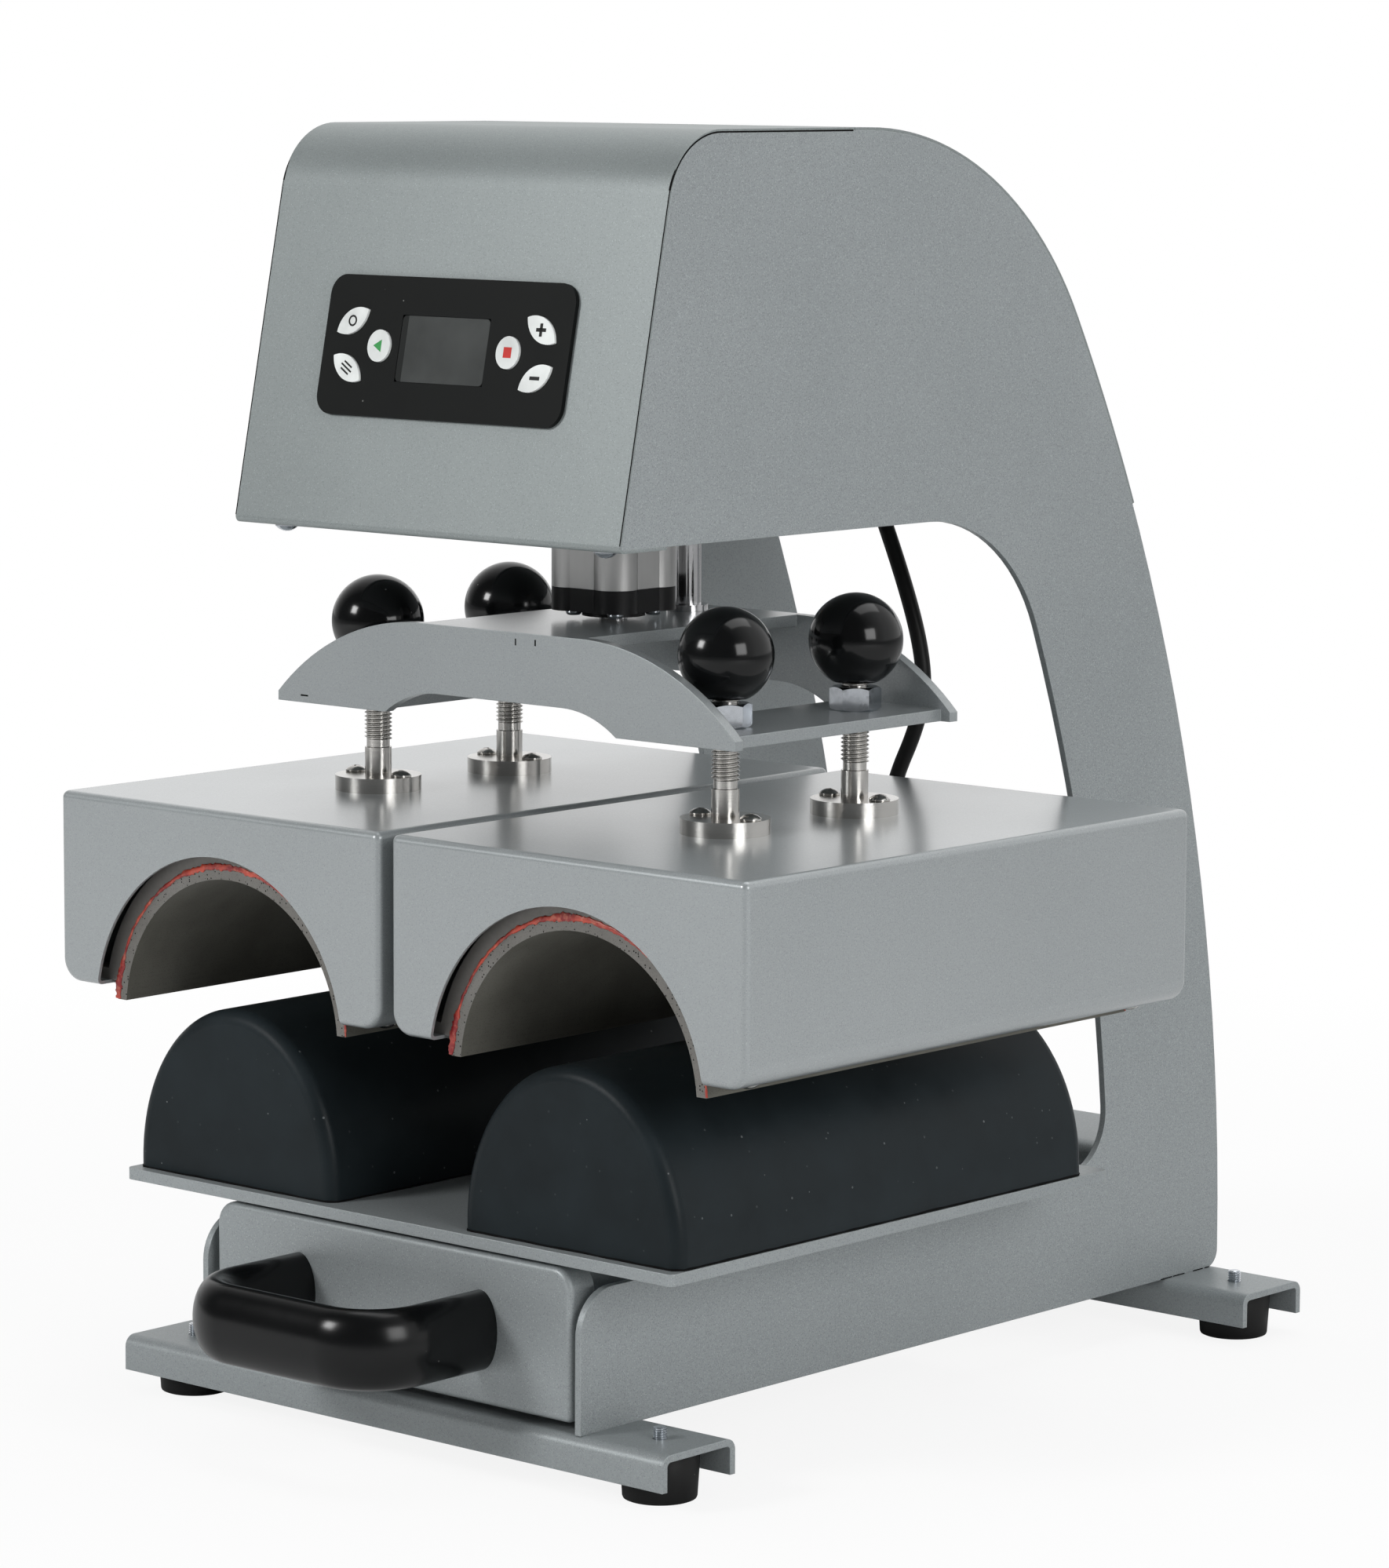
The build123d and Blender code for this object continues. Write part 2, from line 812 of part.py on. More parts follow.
# Pan-head screw at the origin, head up
screw_dome_h = screw_head_h - screw_edge_h
screw_dome_r = (screw_head_r**2 + screw_dome_h**2) / (2 * screw_dome_h)
screw_dome_turn = asin(screw_head_r / screw_dome_r) / 2
screw_len = flange_h + platen_t
with BuildPart() as pan_screw:
    with BuildSketch(Plane.XZ):
        with BuildLine():
            ThreePointArc(
                (screw_head_r, screw_edge_h),
                (
                    screw_dome_r * sin(screw_dome_turn),
                    screw_head_h - screw_dome_r * (1 - cos(screw_dome_turn)),
                ),
                (0, screw_head_h),
            )
            Polyline(
                (0, screw_head_h),
                (0, -screw_len),
                (screw_shank_r, -screw_len),
                (screw_shank_r, 0),
                (screw_head_r, 0),
                (screw_head_r, screw_edge_h),
            )
        make_face()
    revolve(axis=Axis.Z)


def housing_block(mid_x, wall):
    """Rounded block of a platen housing, drawn in by wall on every side."""
    with BuildPart() as block:
        with BuildSketch(facing(platen_front + wall)):
            with Locations((mid_x, platen_low + platen_h / 2)):
                Rectangle(platen_w - 2 * wall, platen_h - 2 * wall)
        extrude(amount=2 * wall - platen_depth)
        low_edges = block.edges().group_by(Axis.Z)[0].filter_by(Axis.Y)
        fillet(low_edges, radius=platen_low_r - wall)
        top_edges = block.edges().group_by(Axis.Z)[-1]
        side_edges = block.edges().filter_by(Axis.Z)
        fillet(top_edges + side_edges, radius=platen_top_r - wall)
    return block


def platen(side, name):
    """Housing, heater shell, liner, stud flanges and screws of one press platen."""
    mid_x = side * platen_x
    shell_r = liner_r + liner_t + liner_gap
    shell_low = platen_low + platen_t
    shell_front = platen_front + shell_recess
    shell_depth = platen_depth - 2 * shell_recess
    flange_spots = [(mid_x, press_y - stud_dy), (mid_x, press_y + stud_dy)]
    top_screws = [
        (x + sx * flange_screw_at, y) for x, y in flange_spots for sx in (-1, 1)]
    foot_in = arch_r
    foot_out = platen_w / 2 - platen_low_r - slide_gap
    foot_mid = (foot_in + foot_out) / 2
    low_screws = [
        (mid_x + sx * foot_mid, y)
        for sx in (-1, 1)
        for y in (shell_front + shell_screw_in, shell_front + shell_depth - shell_screw_in)
    ]

    outside = housing_block(mid_x, 0)
    inside = housing_block(mid_x, platen_t)
    with BuildPart() as housing:
        add(outside.part)
        add(inside.part, mode=Mode.SUBTRACT)
        with BuildSketch(facing(platen_front)):
            with Locations((mid_x, arch_z)):
                Circle(arch_r)
        extrude(amount=-platen_depth, mode=Mode.SUBTRACT)
        with BuildSketch(Plane.XY.offset(platen_top)):
            with Locations(*top_screws):
                Circle(screw_shank_r + fit_gap)
        extrude(amount=-platen_t, mode=Mode.SUBTRACT)
        with BuildSketch(Plane.XY.offset(platen_low)):
            with Locations(*low_screws):
                Circle(screw_shank_r + fit_gap)
        extrude(amount=platen_t, mode=Mode.SUBTRACT)
        if side > 0:
            with BuildSketch(facing(platen_rear - platen_t)):
                with Locations((mid_x - gland_in, platen_low + gland_up)):
                    Circle(gland_neck_r + fit_gap)
            extrude(amount=-platen_t, mode=Mode.SUBTRACT)
    write(housing, name + "_housing")

    with BuildPart() as shell:
        with BuildSketch(facing(shell_front)) as shell_profile:
            with Locations((mid_x, arch_z)):
                Circle(shell_r + shell_t)
                Circle(shell_r, mode=Mode.SUBTRACT)
            with Locations((mid_x, shell_low - platen_w / 2)):
                Rectangle(platen_w, platen_w, mode=Mode.SUBTRACT)
            for sx in (-1, 1):
                with Locations((mid_x + sx * foot_mid, shell_low + shell_foot_t / 2)):
                    Rectangle(foot_out - foot_in, shell_foot_t)
        extrude(amount=-shell_depth)
        with BuildSketch(Plane.XY.offset(shell_low)):
            with Locations(*low_screws):
                Circle(screw_shank_r + fit_gap)
        extrude(amount=shell_foot_t, mode=Mode.SUBTRACT)
    write(shell, name + "_heater_shell")

    with BuildPart() as liner:
        with BuildSketch(facing(shell_front)):
            with Locations((mid_x, arch_z)):
                Circle(liner_r + liner_t)
                Circle(liner_r, mode=Mode.SUBTRACT)
            with Locations((mid_x, platen_low - liner_below - platen_w / 2)):
                Rectangle(platen_w, platen_w, mode=Mode.SUBTRACT)
        extrude(amount=-shell_depth)
    write(liner, name + "_liner")

    with BuildPart() as flanges:
        with BuildSketch(Plane.XY.offset(platen_top)):
            with Locations(*flange_spots):
                Circle(flange_r)
        extrude(amount=flange_h)
        with BuildSketch(Plane.XY.offset(platen_top + flange_h)):
            with Locations(*flange_spots):
                Circle(hub_r)
        extrude(amount=hub_h)
        with BuildSketch(Plane.XY.offset(platen_top + flange_floor)):
            with Locations(*flange_spots):
                Circle(stud_spigot_r + fit_gap)
        extrude(amount=flange_h + hub_h, mode=Mode.SUBTRACT)
        with BuildSketch(Plane.XY.offset(platen_top)):
            with Locations(*top_screws):
                Circle(screw_shank_r + fit_gap)
        extrude(amount=flange_h, mode=Mode.SUBTRACT)
    write(flanges, name + "_stud_flanges")

    with BuildPart() as screws:
        with Locations(*[(x, y, platen_top + flange_h) for x, y in top_screws]):
            add(pan_screw.part)
        with Locations(*[Location((x, y, platen_low), (180, 0, 0)) for x, y in low_screws]):
            add(pan_screw.part)
    write(screws, name + "_platen_screws")


platen(-1, "left")
platen(1, "right")

# Elbow gland in the rear wall of the right platen, its mouth upward
gland_z = platen_low + gland_up
gland_x = platen_x - gland_in
gland_wall = Plane(origin=(gland_x, platen_rear, gland_z), z_dir=(0, 1, 0))
gland_mouth = Plane(origin=(gland_x, platen_rear + gland_out, gland_z + gland_rise))
with BuildPart() as cable_gland:
    with BuildSketch(gland_wall):
        RegularPolygon(radius=gland_r, side_count=6, major_radius=False)
    extrude(amount=gland_nut_h)
    with BuildSketch(gland_wall):
        Circle(gland_neck_r)
    extrude(amount=-gland_inside)
    with BuildLine() as elbow:
        FilletPolyline(
            (gland_x, platen_rear, gland_z),
            (gland_x, platen_rear + gland_out, gland_z),
            (gland_x, platen_rear + gland_out, gland_z + gland_rise),
            radius=gland_bend_r,
        )
    with BuildSketch(gland_wall):
        Circle(gland_neck_r)
    sweep(path=elbow.wires()[0])
    with BuildSketch(gland_mouth):
        RegularPolygon(radius=gland_r, side_count=6, major_radius=False)
    extrude(amount=-gland_nut_h)
write(cable_gland, "cable_gland")

# Heater cable: straight runs joined by tangent arcs
runs = [Vector(*b) - Vector(*a) for a, b in zip(cable_route, cable_route[1:])]
bend_radii = []
for before, after in zip(runs, runs[1:]):
    half_turn = radians(before.get_angle(after)) / 2
    bend_radii.append(0.45 * min(before.length, after.length) / tan(half_turn))
print("cable bend radii", [round(r, 1) for r in bend_radii])
with BuildPart() as heater_cable:
    with BuildLine() as cable_path:
        FilletPolyline(*cable_route, radius=bend_radii)
    with BuildSketch(Plane(origin=cable_route[0], z_dir=runs[0])):
        Circle(cable_r)
    sweep(path=cable_path.wires()[0])
cable_len = cable_path.wires()[0].length
print("cable length", round(cable_len, 1))
print("tube volume", round(heater_cable.part.volume), round(pi * cable_r**2 * cable_len))
write(heater_cable, "heater_cable")

# Table plate on the drawer
with BuildPart() as table_plate:
    with BuildSketch(Plane(origin=(0, table_front + table_depth / 2, table_low))):
        RectangleRounded(table_w, table_depth, table_corner_r)
    extrude(amount=table_t)
write(table_plate, "table_plate")


def former(mid_x, name):
    """Shin-shaped rubber former: half an ellipse over a short straight foot."""
    with BuildPart() as block:
        with BuildSketch(facing(table_front + former_inset)):
            with BuildLine():
                crown = EllipticalCenterArc(
                    (mid_x, table_top + former_foot_h),
                    former_w / 2,
                    former_h - former_foot_h,
                    start_angle=0,
                    arc_size=180,
                )
                Polyline(
                    crown @ 1,
                    (mid_x - former_w / 2, table_top),
                    (mid_x + former_w / 2, table_top),
                    crown @ 0,
                )
            make_face()
        extrude(amount=-former_len)
        end_edges = block.edges().filter_by(lambda e: e.geom_type == GeomType.ELLIPSE)
        foot_edges = block.edges().filter_by(Axis.Z)
        fillet(end_edges + foot_edges, radius=former_edge_r)
    write(block, name)


former(-former_x, "left_former")
former(former_x, "right_former")

# Drawer front: flat panel with side returns
with BuildPart() as drawer_front:
    with BuildSketch(facing(front_y)) as front_outline:
        with Locations((0, front_top - front_h / 2)):
            Rectangle(front_w, front_h)
        fillet(front_outline.vertices().group_by(Axis.Y)[-1], radius=front_corner_r)
        fillet(front_outline.vertices().group_by(Axis.Y)[0], radius=front_low_r)
    extrude(amount=-front_return)
    front_edges = drawer_front.edges().group_by(Axis.Y)[0]
    fillet(front_edges, radius=front_edge_r)
    offset(amount=-front_t, openings=drawer_front.faces().sort_by(Axis.Y)[-1])
write(drawer_front, "drawer_front")

# Drawer tray: bent sheet with top flanges that the table rests on
tray_front_top = front_top - front_t - tray_front_gap
with BuildPart() as drawer_tray:
    with BuildSketch(facing(front_y + front_return)):
        with BuildLine():
            FilletPolyline(
                (-tray_half + tray_flange, table_low),
                (-tray_half, table_low),
                (-tray_half, tray_low),
                (tray_half, tray_low),
                (tray_half, table_low),
                (tray_half - tray_flange, table_low),
                radius=tray_bend,
            )
            offset(amount=tray_t, side=Side.LEFT)
        make_face()
    extrude(amount=front_y + front_return - tray_rear)
    with BuildSketch(facing(front_y + front_t)):
        with BuildLine():
            FilletPolyline(
                (-tray_half, tray_front_top),
                (-tray_half, tray_low),
                (tray_half, tray_low),
                (tray_half, tray_front_top),
                radius=tray_bend,
            )
            offset(amount=tray_t, side=Side.LEFT)
        make_face()
    extrude(amount=front_t - front_return)
    for wall_y in (front_y + front_t, tray_rear - tray_t):
        with BuildSketch(facing(wall_y)):
            with Locations((0, (tray_low + tray_front_top) / 2)):
                RectangleRounded(2 * tray_half, tray_front_top - tray_low, tray_bend)
        extrude(amount=-tray_t)
write(drawer_tray, "drawer_tray")

# Bow handle: oval section swept along a flat bow
with BuildPart() as drawer_handle:
    reach_y = front_y - handle_reach + handle_thick / 2
    with BuildLine() as bow:
        FilletPolyline(
            (-handle_span / 2, front_y, handle_z),
            (-handle_span / 2, reach_y, handle_z),
            (handle_span / 2, reach_y, handle_z),
            (handle_span / 2, front_y, handle_z),
            radius=handle_bend_r,
        )
    with BuildSketch(Plane(
            origin=(-handle_span / 2, front_y, handle_z), x_dir=(1, 0, 0), z_dir=(0, -1, 0))):
        Ellipse(handle_thick / 2, handle_tall / 2)
    sweep(path=bow.wires()[0])
write(drawer_handle, "drawer_handle")


def rail_member(name, web, lip_end, half_h, wall_side):
    """A pair of channel members, one on each side of the drawer."""
    with BuildPart() as pair:
        with BuildSketch(facing(rail_front)):
            with BuildLine():
                Polyline(
                    (plate_in - lip_end, rail_z + half_h),
                    (plate_in - web, rail_z + half_h),
                    (plate_in - web, rail_z - half_h),
                    (plate_in - lip_end, rail_z - half_h),
                )
                offset(amount=rail_t, side=wall_side, kind=Kind.INTERSECTION)
            make_face()
            mirror(about=Plane.YZ)
        extrude(amount=-rail_len)
    write(pair, name)


# Telescopic rails: outer member on the side plate, inner member on the tray
rail_step = rail_t + slide_gap
rail_member("outer_rails", 0, rail_lip, rail_h / 2, Side.RIGHT)
rail_member(
    "middle_rails", rail_mid_in, rail_mid_in + rail_mid_w, rail_h / 2 - rail_step, Side.RIGHT)
rail_member(
    "inner_rails", rail_w, rail_w - rail_inner_w, rail_h / 2 - 2 * rail_step, Side.LEFT)

# Control panel bezel on the slope, its rim let into the front cover
key_spots = [
    ("set_key", -key_leaf_x, key_leaf_up, leaf_tilt),
    ("mode_key", -key_leaf_x, -key_leaf_up, -leaf_tilt),
    ("enter_key", -key_oval_x, 0, None),
    ("stop_key", key_oval_x, 0, None),
    ("plus_key", key_leaf_x, key_leaf_up, -leaf_tilt),
    ("minus_key", key_leaf_x, -key_leaf_up, leaf_tilt),
]


def key_shape(tilt, grow):
    """Oval key where tilt is None, otherwise a leaf turned by tilt degrees."""
    if tilt is None:
        Ellipse(oval_rx + grow, oval_ry + grow)
    else:
        half = leaf_len / 2 + grow
        rise = leaf_wide / 2 + grow
        with BuildSketch(mode=Mode.PRIVATE) as leaf:
            with BuildLine():
                ThreePointArc((-half, 0), (0, rise), (half, 0))
                ThreePointArc((half, 0), (0, -rise), (-half, 0))
            make_face()
        add(leaf.sketch, rotation=tilt)


def on_panel(n):
    """Plane parallel to the slope, n above it, centred on the panel."""
    return Plane(
        origin=front_slope.from_local_coords((0, panel_up, n)),
        x_dir=(1, 0, 0),
        z_dir=front_slope.z_dir,
    )


with BuildPart() as panel_bezel:
    with BuildSketch(on_panel(0)):
        RectangleRounded(panel_w, panel_h, panel_r)
    extrude(amount=panel_t)
    with BuildSketch(on_panel(0)):
        RectangleRounded(panel_w - 2 * panel_rim, panel_h - 2 * panel_rim, panel_r - panel_rim)
        RectangleRounded(
            panel_w - 2 * panel_rim - 2 * panel_wall,
            panel_h - 2 * panel_rim - 2 * panel_wall,
            panel_r - panel_rim - panel_wall,
            mode=Mode.SUBTRACT,
        )
    extrude(amount=-panel_deep)
    with BuildSketch(on_panel(panel_t)):
        with Locations((screen_x, screen_up)):
            Rectangle(screen_w, screen_h)
    extrude(amount=-screen_t, mode=Mode.SUBTRACT)
    for key_name, key_x, key_up, tilt in key_spots:
        with BuildSketch(on_panel(panel_t)):
            with Locations((key_x, key_up)):
                key_shape(tilt, slide_gap)
        extrude(amount=-panel_t, mode=Mode.SUBTRACT)
write(panel_bezel, "panel_bezel")
with BuildPart() as panel_screen:
    with BuildSketch(on_panel(panel_t)):
        with Locations((screen_x, screen_up)):
            Rectangle(screen_w, screen_h)
    extrude(amount=-screen_t)
write(panel_screen, "panel_screen")
with BuildPart() as control_board:
    with BuildSketch(on_panel(-board_drop)):
        RectangleRounded(
            panel_w - 2 * panel_rim - 2 * panel_wall,
            panel_h - 2 * panel_rim - 2 * panel_wall,
            panel_r - panel_rim - panel_wall,
        )
    extrude(amount=-board_t)
write(control_board, "control_board")
for key_name, key_x, key_up, tilt in key_spots:
    with BuildPart() as key:
        with BuildSketch(on_panel(panel_t + key_proud)):
            with Locations((key_x, key_up)):
                key_shape(tilt, 0)
        extrude(amount=-panel_t - key_proud - key_tail)
    write(key, key_name)

# Power inlet with a pocket for the plug, three pins and a rocker opening
rocker_half_h = rocker_r + slide_gap
with BuildPart() as power_inlet:
    with BuildSketch(rear_slope):
        with Locations((inlet_x, 0)):
            RectangleRounded(inlet_w, inlet_h, inlet_corner_r)
    extrude(amount=inlet_t)
    with BuildSketch(rear_slope):
        with Locations((inlet_x, 0)):
            Rectangle(inlet_body_w, inlet_body_h)
    extrude(amount=-inlet_deep)
    with BuildSketch(rear_slope.offset(inlet_t)):
        with Locations((inlet_x + socket_at, 0)):
            Rectangle(socket_w, socket_h)
    extrude(amount=-inlet_t - socket_deep, mode=Mode.SUBTRACT)
    with BuildSketch(rear_slope.offset(-socket_deep)):
        with Locations(
            (inlet_x + socket_at, socket_earth_up - socket_pin_w / 2),
            (inlet_x + socket_at - socket_pin_apart / 2, -socket_pin_w / 2),
            (inlet_x + socket_at + socket_pin_apart / 2, -socket_pin_w / 2),
        ):
            Rectangle(socket_pin_t, socket_pin_w)
    extrude(amount=socket_deep)
    with BuildSketch(rear_slope.offset(inlet_t)):
        with Locations((inlet_x + rocker_at, 0)):
            Rectangle(rocker_w + 2 * slide_gap, 2 * rocker_half_h)
    extrude(amount=-inlet_t - rocker_r - rocker_room, mode=Mode.SUBTRACT)
    pin_span = rocker_w + 2 * slide_gap + 2 * rocker_pin_len
    with BuildSketch(Plane(
            origin=rear_slope.from_local_coords((inlet_x + rocker_at - pin_span / 2, 0, 0)),
            z_dir=(-1, 0, 0))):
        Circle(rocker_pin_r + fit_gap)
    extrude(amount=pin_span, mode=Mode.SUBTRACT)
write(power_inlet, "power_inlet")

# Power rocker: round below its trunnions, shallow V on top
with BuildPart() as power_rocker:
    rocker_plane = Plane(
        origin=rear_slope.from_local_coords((inlet_x + rocker_at + rocker_w / 2, 0, 0)),
        x_dir=rear_slope.y_dir,
        z_dir=(1, 0, 0),
    )
    with BuildSketch(rocker_plane):
        Circle(rocker_r)
        with BuildLine():
            Polyline(
                (-rocker_r, -rocker_r / 2),
                (rocker_r, -rocker_r / 2),
                (rocker_r, inlet_t + rocker_rise),
                (0, inlet_t + rocker_rise - rocker_dip),
                (-rocker_r, inlet_t + rocker_rise),
                close=True,
            )
        make_face(mode=Mode.INTERSECT)
    extrude(amount=rocker_w)
    with BuildSketch(rocker_plane.offset(-rocker_pin_len)):
        Circle(rocker_pin_r)
    extrude(amount=rocker_w + 2 * rocker_pin_len)
write(power_rocker, "power_rocker")

# Push-in air fitting
with BuildPart() as air_fitting:
    with BuildSketch(rear_slope):
        with Locations((fitting_x, 0)):
            RegularPolygon(radius=fitting_af / 2, side_count=6, major_radius=False)
    extrude(amount=fitting_hex_h)
    with BuildSketch(rear_slope):
        with Locations((fitting_x, 0)):
            Circle(fitting_body_r)
    extrude(amount=fitting_body_h)
    with BuildSketch(rear_slope):
        with Locations((fitting_x, 0)):
            Circle(fitting_ring_r)
    extrude(amount=fitting_body_h + fitting_ring_h)
    with BuildSketch(rear_slope):
        with Locations((fitting_x, 0)):
            Circle(fitting_thread_r)
    extrude(amount=-fitting_thread_h)
    with BuildSketch(rear_slope.offset(-fitting_thread_h)):
        with Locations((fitting_x, 0)):
            Circle(fitting_tube_r)
    extrude(amount=fitting_thread_h + fitting_body_h + fitting_ring_h, mode=Mode.SUBTRACT)
write(air_fitting, "air_fitting")

# Solenoid valve and solid-state relay on the head floor
floor_top = head_z + floor_t
with BuildPart() as solenoid_valve:
    with BuildSketch(Plane(origin=(valve_x, valve_y, floor_top))):
        Rectangle(valve_w, valve_len)
    extrude(amount=valve_h)
    with BuildSketch(Plane(origin=(valve_x, valve_y + coil_at, floor_top + valve_h))):
        RectangleRounded(coil_w, coil_len, coil_corner_r)
    extrude(amount=coil_h)
write(solenoid_valve, "solenoid_valve")
with BuildPart() as solid_state_relay:
    with BuildSketch(Plane(origin=(relay_x, relay_y, floor_top))):
        Rectangle(relay_w + 2 * sink_t, relay_len)
    extrude(amount=sink_t)
    with BuildSketch(Plane(origin=(relay_x, relay_y, floor_top + sink_t))):
        Rectangle(relay_w, relay_len)
    extrude(amount=relay_h)
write(solid_state_relay, "solid_state_relay")
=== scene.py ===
# %% [markdown]
# # Shin guard heat press: the looks
# The press was drawn as solids first, and this script only loads them as a fixed
# frame. It then adds what a solid model doesn't carry: threads, screw recesses,
# sealant, key signs, a soft cable line, paint, rubber and studio light. Sizes of new
# pieces are written in millimetres and turned to metres at the end of each one. Only
# the cable is written in metres, like the frame itself.

# %% Load the frame
import bpy
import bmesh
import json
import random
from math import atan2, cos, pi, radians, sin, sqrt
from mathutils import Matrix, Vector, noise


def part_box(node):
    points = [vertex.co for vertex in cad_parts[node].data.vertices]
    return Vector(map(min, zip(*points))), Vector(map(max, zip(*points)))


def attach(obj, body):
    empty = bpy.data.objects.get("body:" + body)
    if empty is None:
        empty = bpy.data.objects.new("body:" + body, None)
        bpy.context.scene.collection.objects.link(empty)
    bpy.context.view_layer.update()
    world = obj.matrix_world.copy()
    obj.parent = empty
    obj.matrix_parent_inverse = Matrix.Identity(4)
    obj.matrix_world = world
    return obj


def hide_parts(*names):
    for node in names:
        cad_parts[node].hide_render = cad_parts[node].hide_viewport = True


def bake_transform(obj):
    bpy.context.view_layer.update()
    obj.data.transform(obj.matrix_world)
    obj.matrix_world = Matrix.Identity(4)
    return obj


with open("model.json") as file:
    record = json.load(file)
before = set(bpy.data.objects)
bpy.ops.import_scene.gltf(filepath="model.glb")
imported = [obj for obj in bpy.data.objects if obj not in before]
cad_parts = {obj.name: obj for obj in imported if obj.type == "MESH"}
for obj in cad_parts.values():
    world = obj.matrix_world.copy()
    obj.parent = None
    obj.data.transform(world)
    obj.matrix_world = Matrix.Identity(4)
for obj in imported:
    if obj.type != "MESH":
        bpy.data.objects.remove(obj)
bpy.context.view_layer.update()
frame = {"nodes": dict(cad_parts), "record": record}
scene = bpy.context.scene

# %% [markdown]
# ## Camera
# The viewing angle decides which faces show, so it comes before any piece. It could
# be moved by eye, but its numbers were worked out from the straight edges of the
# side plate and the round edges of the formers. The rows below are the camera's
# right, up and viewing directions, and the long lens keeps the edges nearly parallel.

# %% Camera
view_right = Vector((0.75001733, 0.66139982, 0.00492774))
view_up = Vector((-0.09053258, 0.09527672, 0.99132548))
view_ahead = Vector((-0.65519299, 0.74395741, -0.13133742))
lens = bpy.data.cameras.new("studio_camera")
lens.sensor_fit = "VERTICAL"
lens.sensor_height = 36
lens.lens = 127.62
lens.clip_end = 50


def put(name, data):
    """Object of this data, linked into the scene."""
    made = bpy.data.objects.new(name, data)
    scene.collection.objects.link(made)
    return made


camera = put("studio_camera", lens)
turn = Matrix((view_right, view_up, -view_ahead)).transposed().to_4x4()
turn.translation = (1.586006, -1.790540, 0.578501)
camera.matrix_world = turn
scene.camera = camera
print("camera", camera.location[:])

# %% [markdown]
# ## Heater cable
# A short black cable leaves the elbow gland of the right platen, bows forward and
# goes up through the floor of the head. A swept circle on straight runs would look
# like bent wire, so a NURBS spline is drawn through six control points, and a tube
# of rings follows the points that Blender reads from that spline. On the press, its
# upper length bends when the press closes, and its lower one bends when the platen is
# raised on its studs. The tube is made in two lengths that meet ring on ring where
# they would part.

# %% Line of the cable
cable_points = [
    (0.020, 0.118, 0.224), (0.020, 0.118, 0.246), (0.0405, 0.118, 0.286),
    (0.0395, 0.119, 0.312), (0.024, 0.120, 0.352), (0.009, 0.120, 0.383),
]
cable_d = 0.007
cable_parted_z = 0.286


def spline_points(points, detail):
    """Points along a smooth NURBS spline with these control points."""
    line = bpy.data.curves.new("line", "CURVE")
    line.dimensions = "3D"
    line.resolution_u = detail
    spline = line.splines.new("NURBS")
    spline.points.add(len(points) - 1)
    for control, place in zip(spline.points, points):
        control.co = (*place, 1)
    spline.order_u = 3
    spline.use_endpoint_u = True
    holder = put("line", line)
    bpy.context.view_layer.update()
    mesh = bpy.data.meshes.new_from_object(holder)
    found = [v.co.copy() for v in mesh.vertices]
    bpy.data.objects.remove(holder)
    return found


def run_length(points):
    """Length of a run of points."""
    return sum((b - a).length for a, b in zip(points, points[1:]))


cable_line = spline_points(cable_points, 14)
print("cable points", len(cable_line), "length", round(run_length(cable_line), 4))

# %% [markdown]
# ## From a bmesh to a piece
# Every new piece is shaped by bmesh operators and then becomes an object. One helper
# does the steps they share: turn millimetres to metres, close doubled points, make
# all faces look outwards, shade smooth with sharp edges kept, and name the CAD body
# it rides on. The finish is only noted here, and all materials are made at the end.

# %% Helper that makes a piece
finish_of = {}


def piece(bm, name, body, finish, hides=(), sharp=34, scale=0.001, merge=0.004):
    """Object at the origin from a bmesh in millimetres, riding on a CAD body."""
    if merge:
        bmesh.ops.remove_doubles(bm, verts=bm.verts, dist=merge)
        bmesh.ops.recalc_face_normals(bm, faces=bm.faces)
    bmesh.ops.scale(bm, vec=(scale, scale, scale), verts=bm.verts)
    mesh = bpy.data.meshes.new(name)
    bm.to_mesh(mesh)
    bm.free()
    mesh.shade_smooth()
    mesh.set_sharp_from_angle(angle=radians(sharp))
    made = put(name, mesh)
    finish_of[name] = finish
    if body:
        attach(made, body)
    if hides:
        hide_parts(*hides)
    print(name, "faces", len(mesh.polygons))
    return made


# %% Tube of the cable
def tube(points, radius, sides=20):
    """Rings along the points, bridged into a tube with closed ends."""
    bm = bmesh.new()
    loops = []
    side = Vector((0, 1, 0))
    for i, here in enumerate(points):
        along = (points[min(i + 1, len(points) - 1)] - points[max(i - 1, 0)]).normalized()
        side = (side - side.dot(along) * along).normalized()
        place = Matrix((side, along.cross(side), along)).transposed().to_4x4()
        place.translation = here
        ring = bmesh.ops.create_circle(bm, segments=sides, radius=radius, matrix=place)
        loops.append(list({e for v in ring["verts"] for e in v.link_edges}))
    for low, high in zip(loops, loops[1:]):
        bmesh.ops.bridge_loops(bm, edges=low + high)
    bmesh.ops.holes_fill(bm, edges=[e for e in bm.edges if e.is_boundary], sides=0)
    return bm


meet = min(range(len(cable_line)), key=lambda i: abs(cable_line[i].z - cable_parted_z))
joint = cable_line[meet]
gland_mouth = (0.020, 0.118, 0.236)
for name, body_a, body_b, near, far, run in (
        ("press_cable", "frame", "press_head", cable_points[-1], joint, cable_line[meet:]),
        ("platen_cable", "press_head", "right_platen", joint, gland_mouth,
         cable_line[:meet + 1])):
    length = piece(tube(run, cable_d / 2), name, None, "cable_rubber", scale=1,
                   merge=0.0001)
    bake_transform(length)
    if name == "press_cable":      # its way out is the head floor, at the far end
        run = run[::-1]
    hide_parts("heater_cable")
print("cable lengths meet at", joint[:])

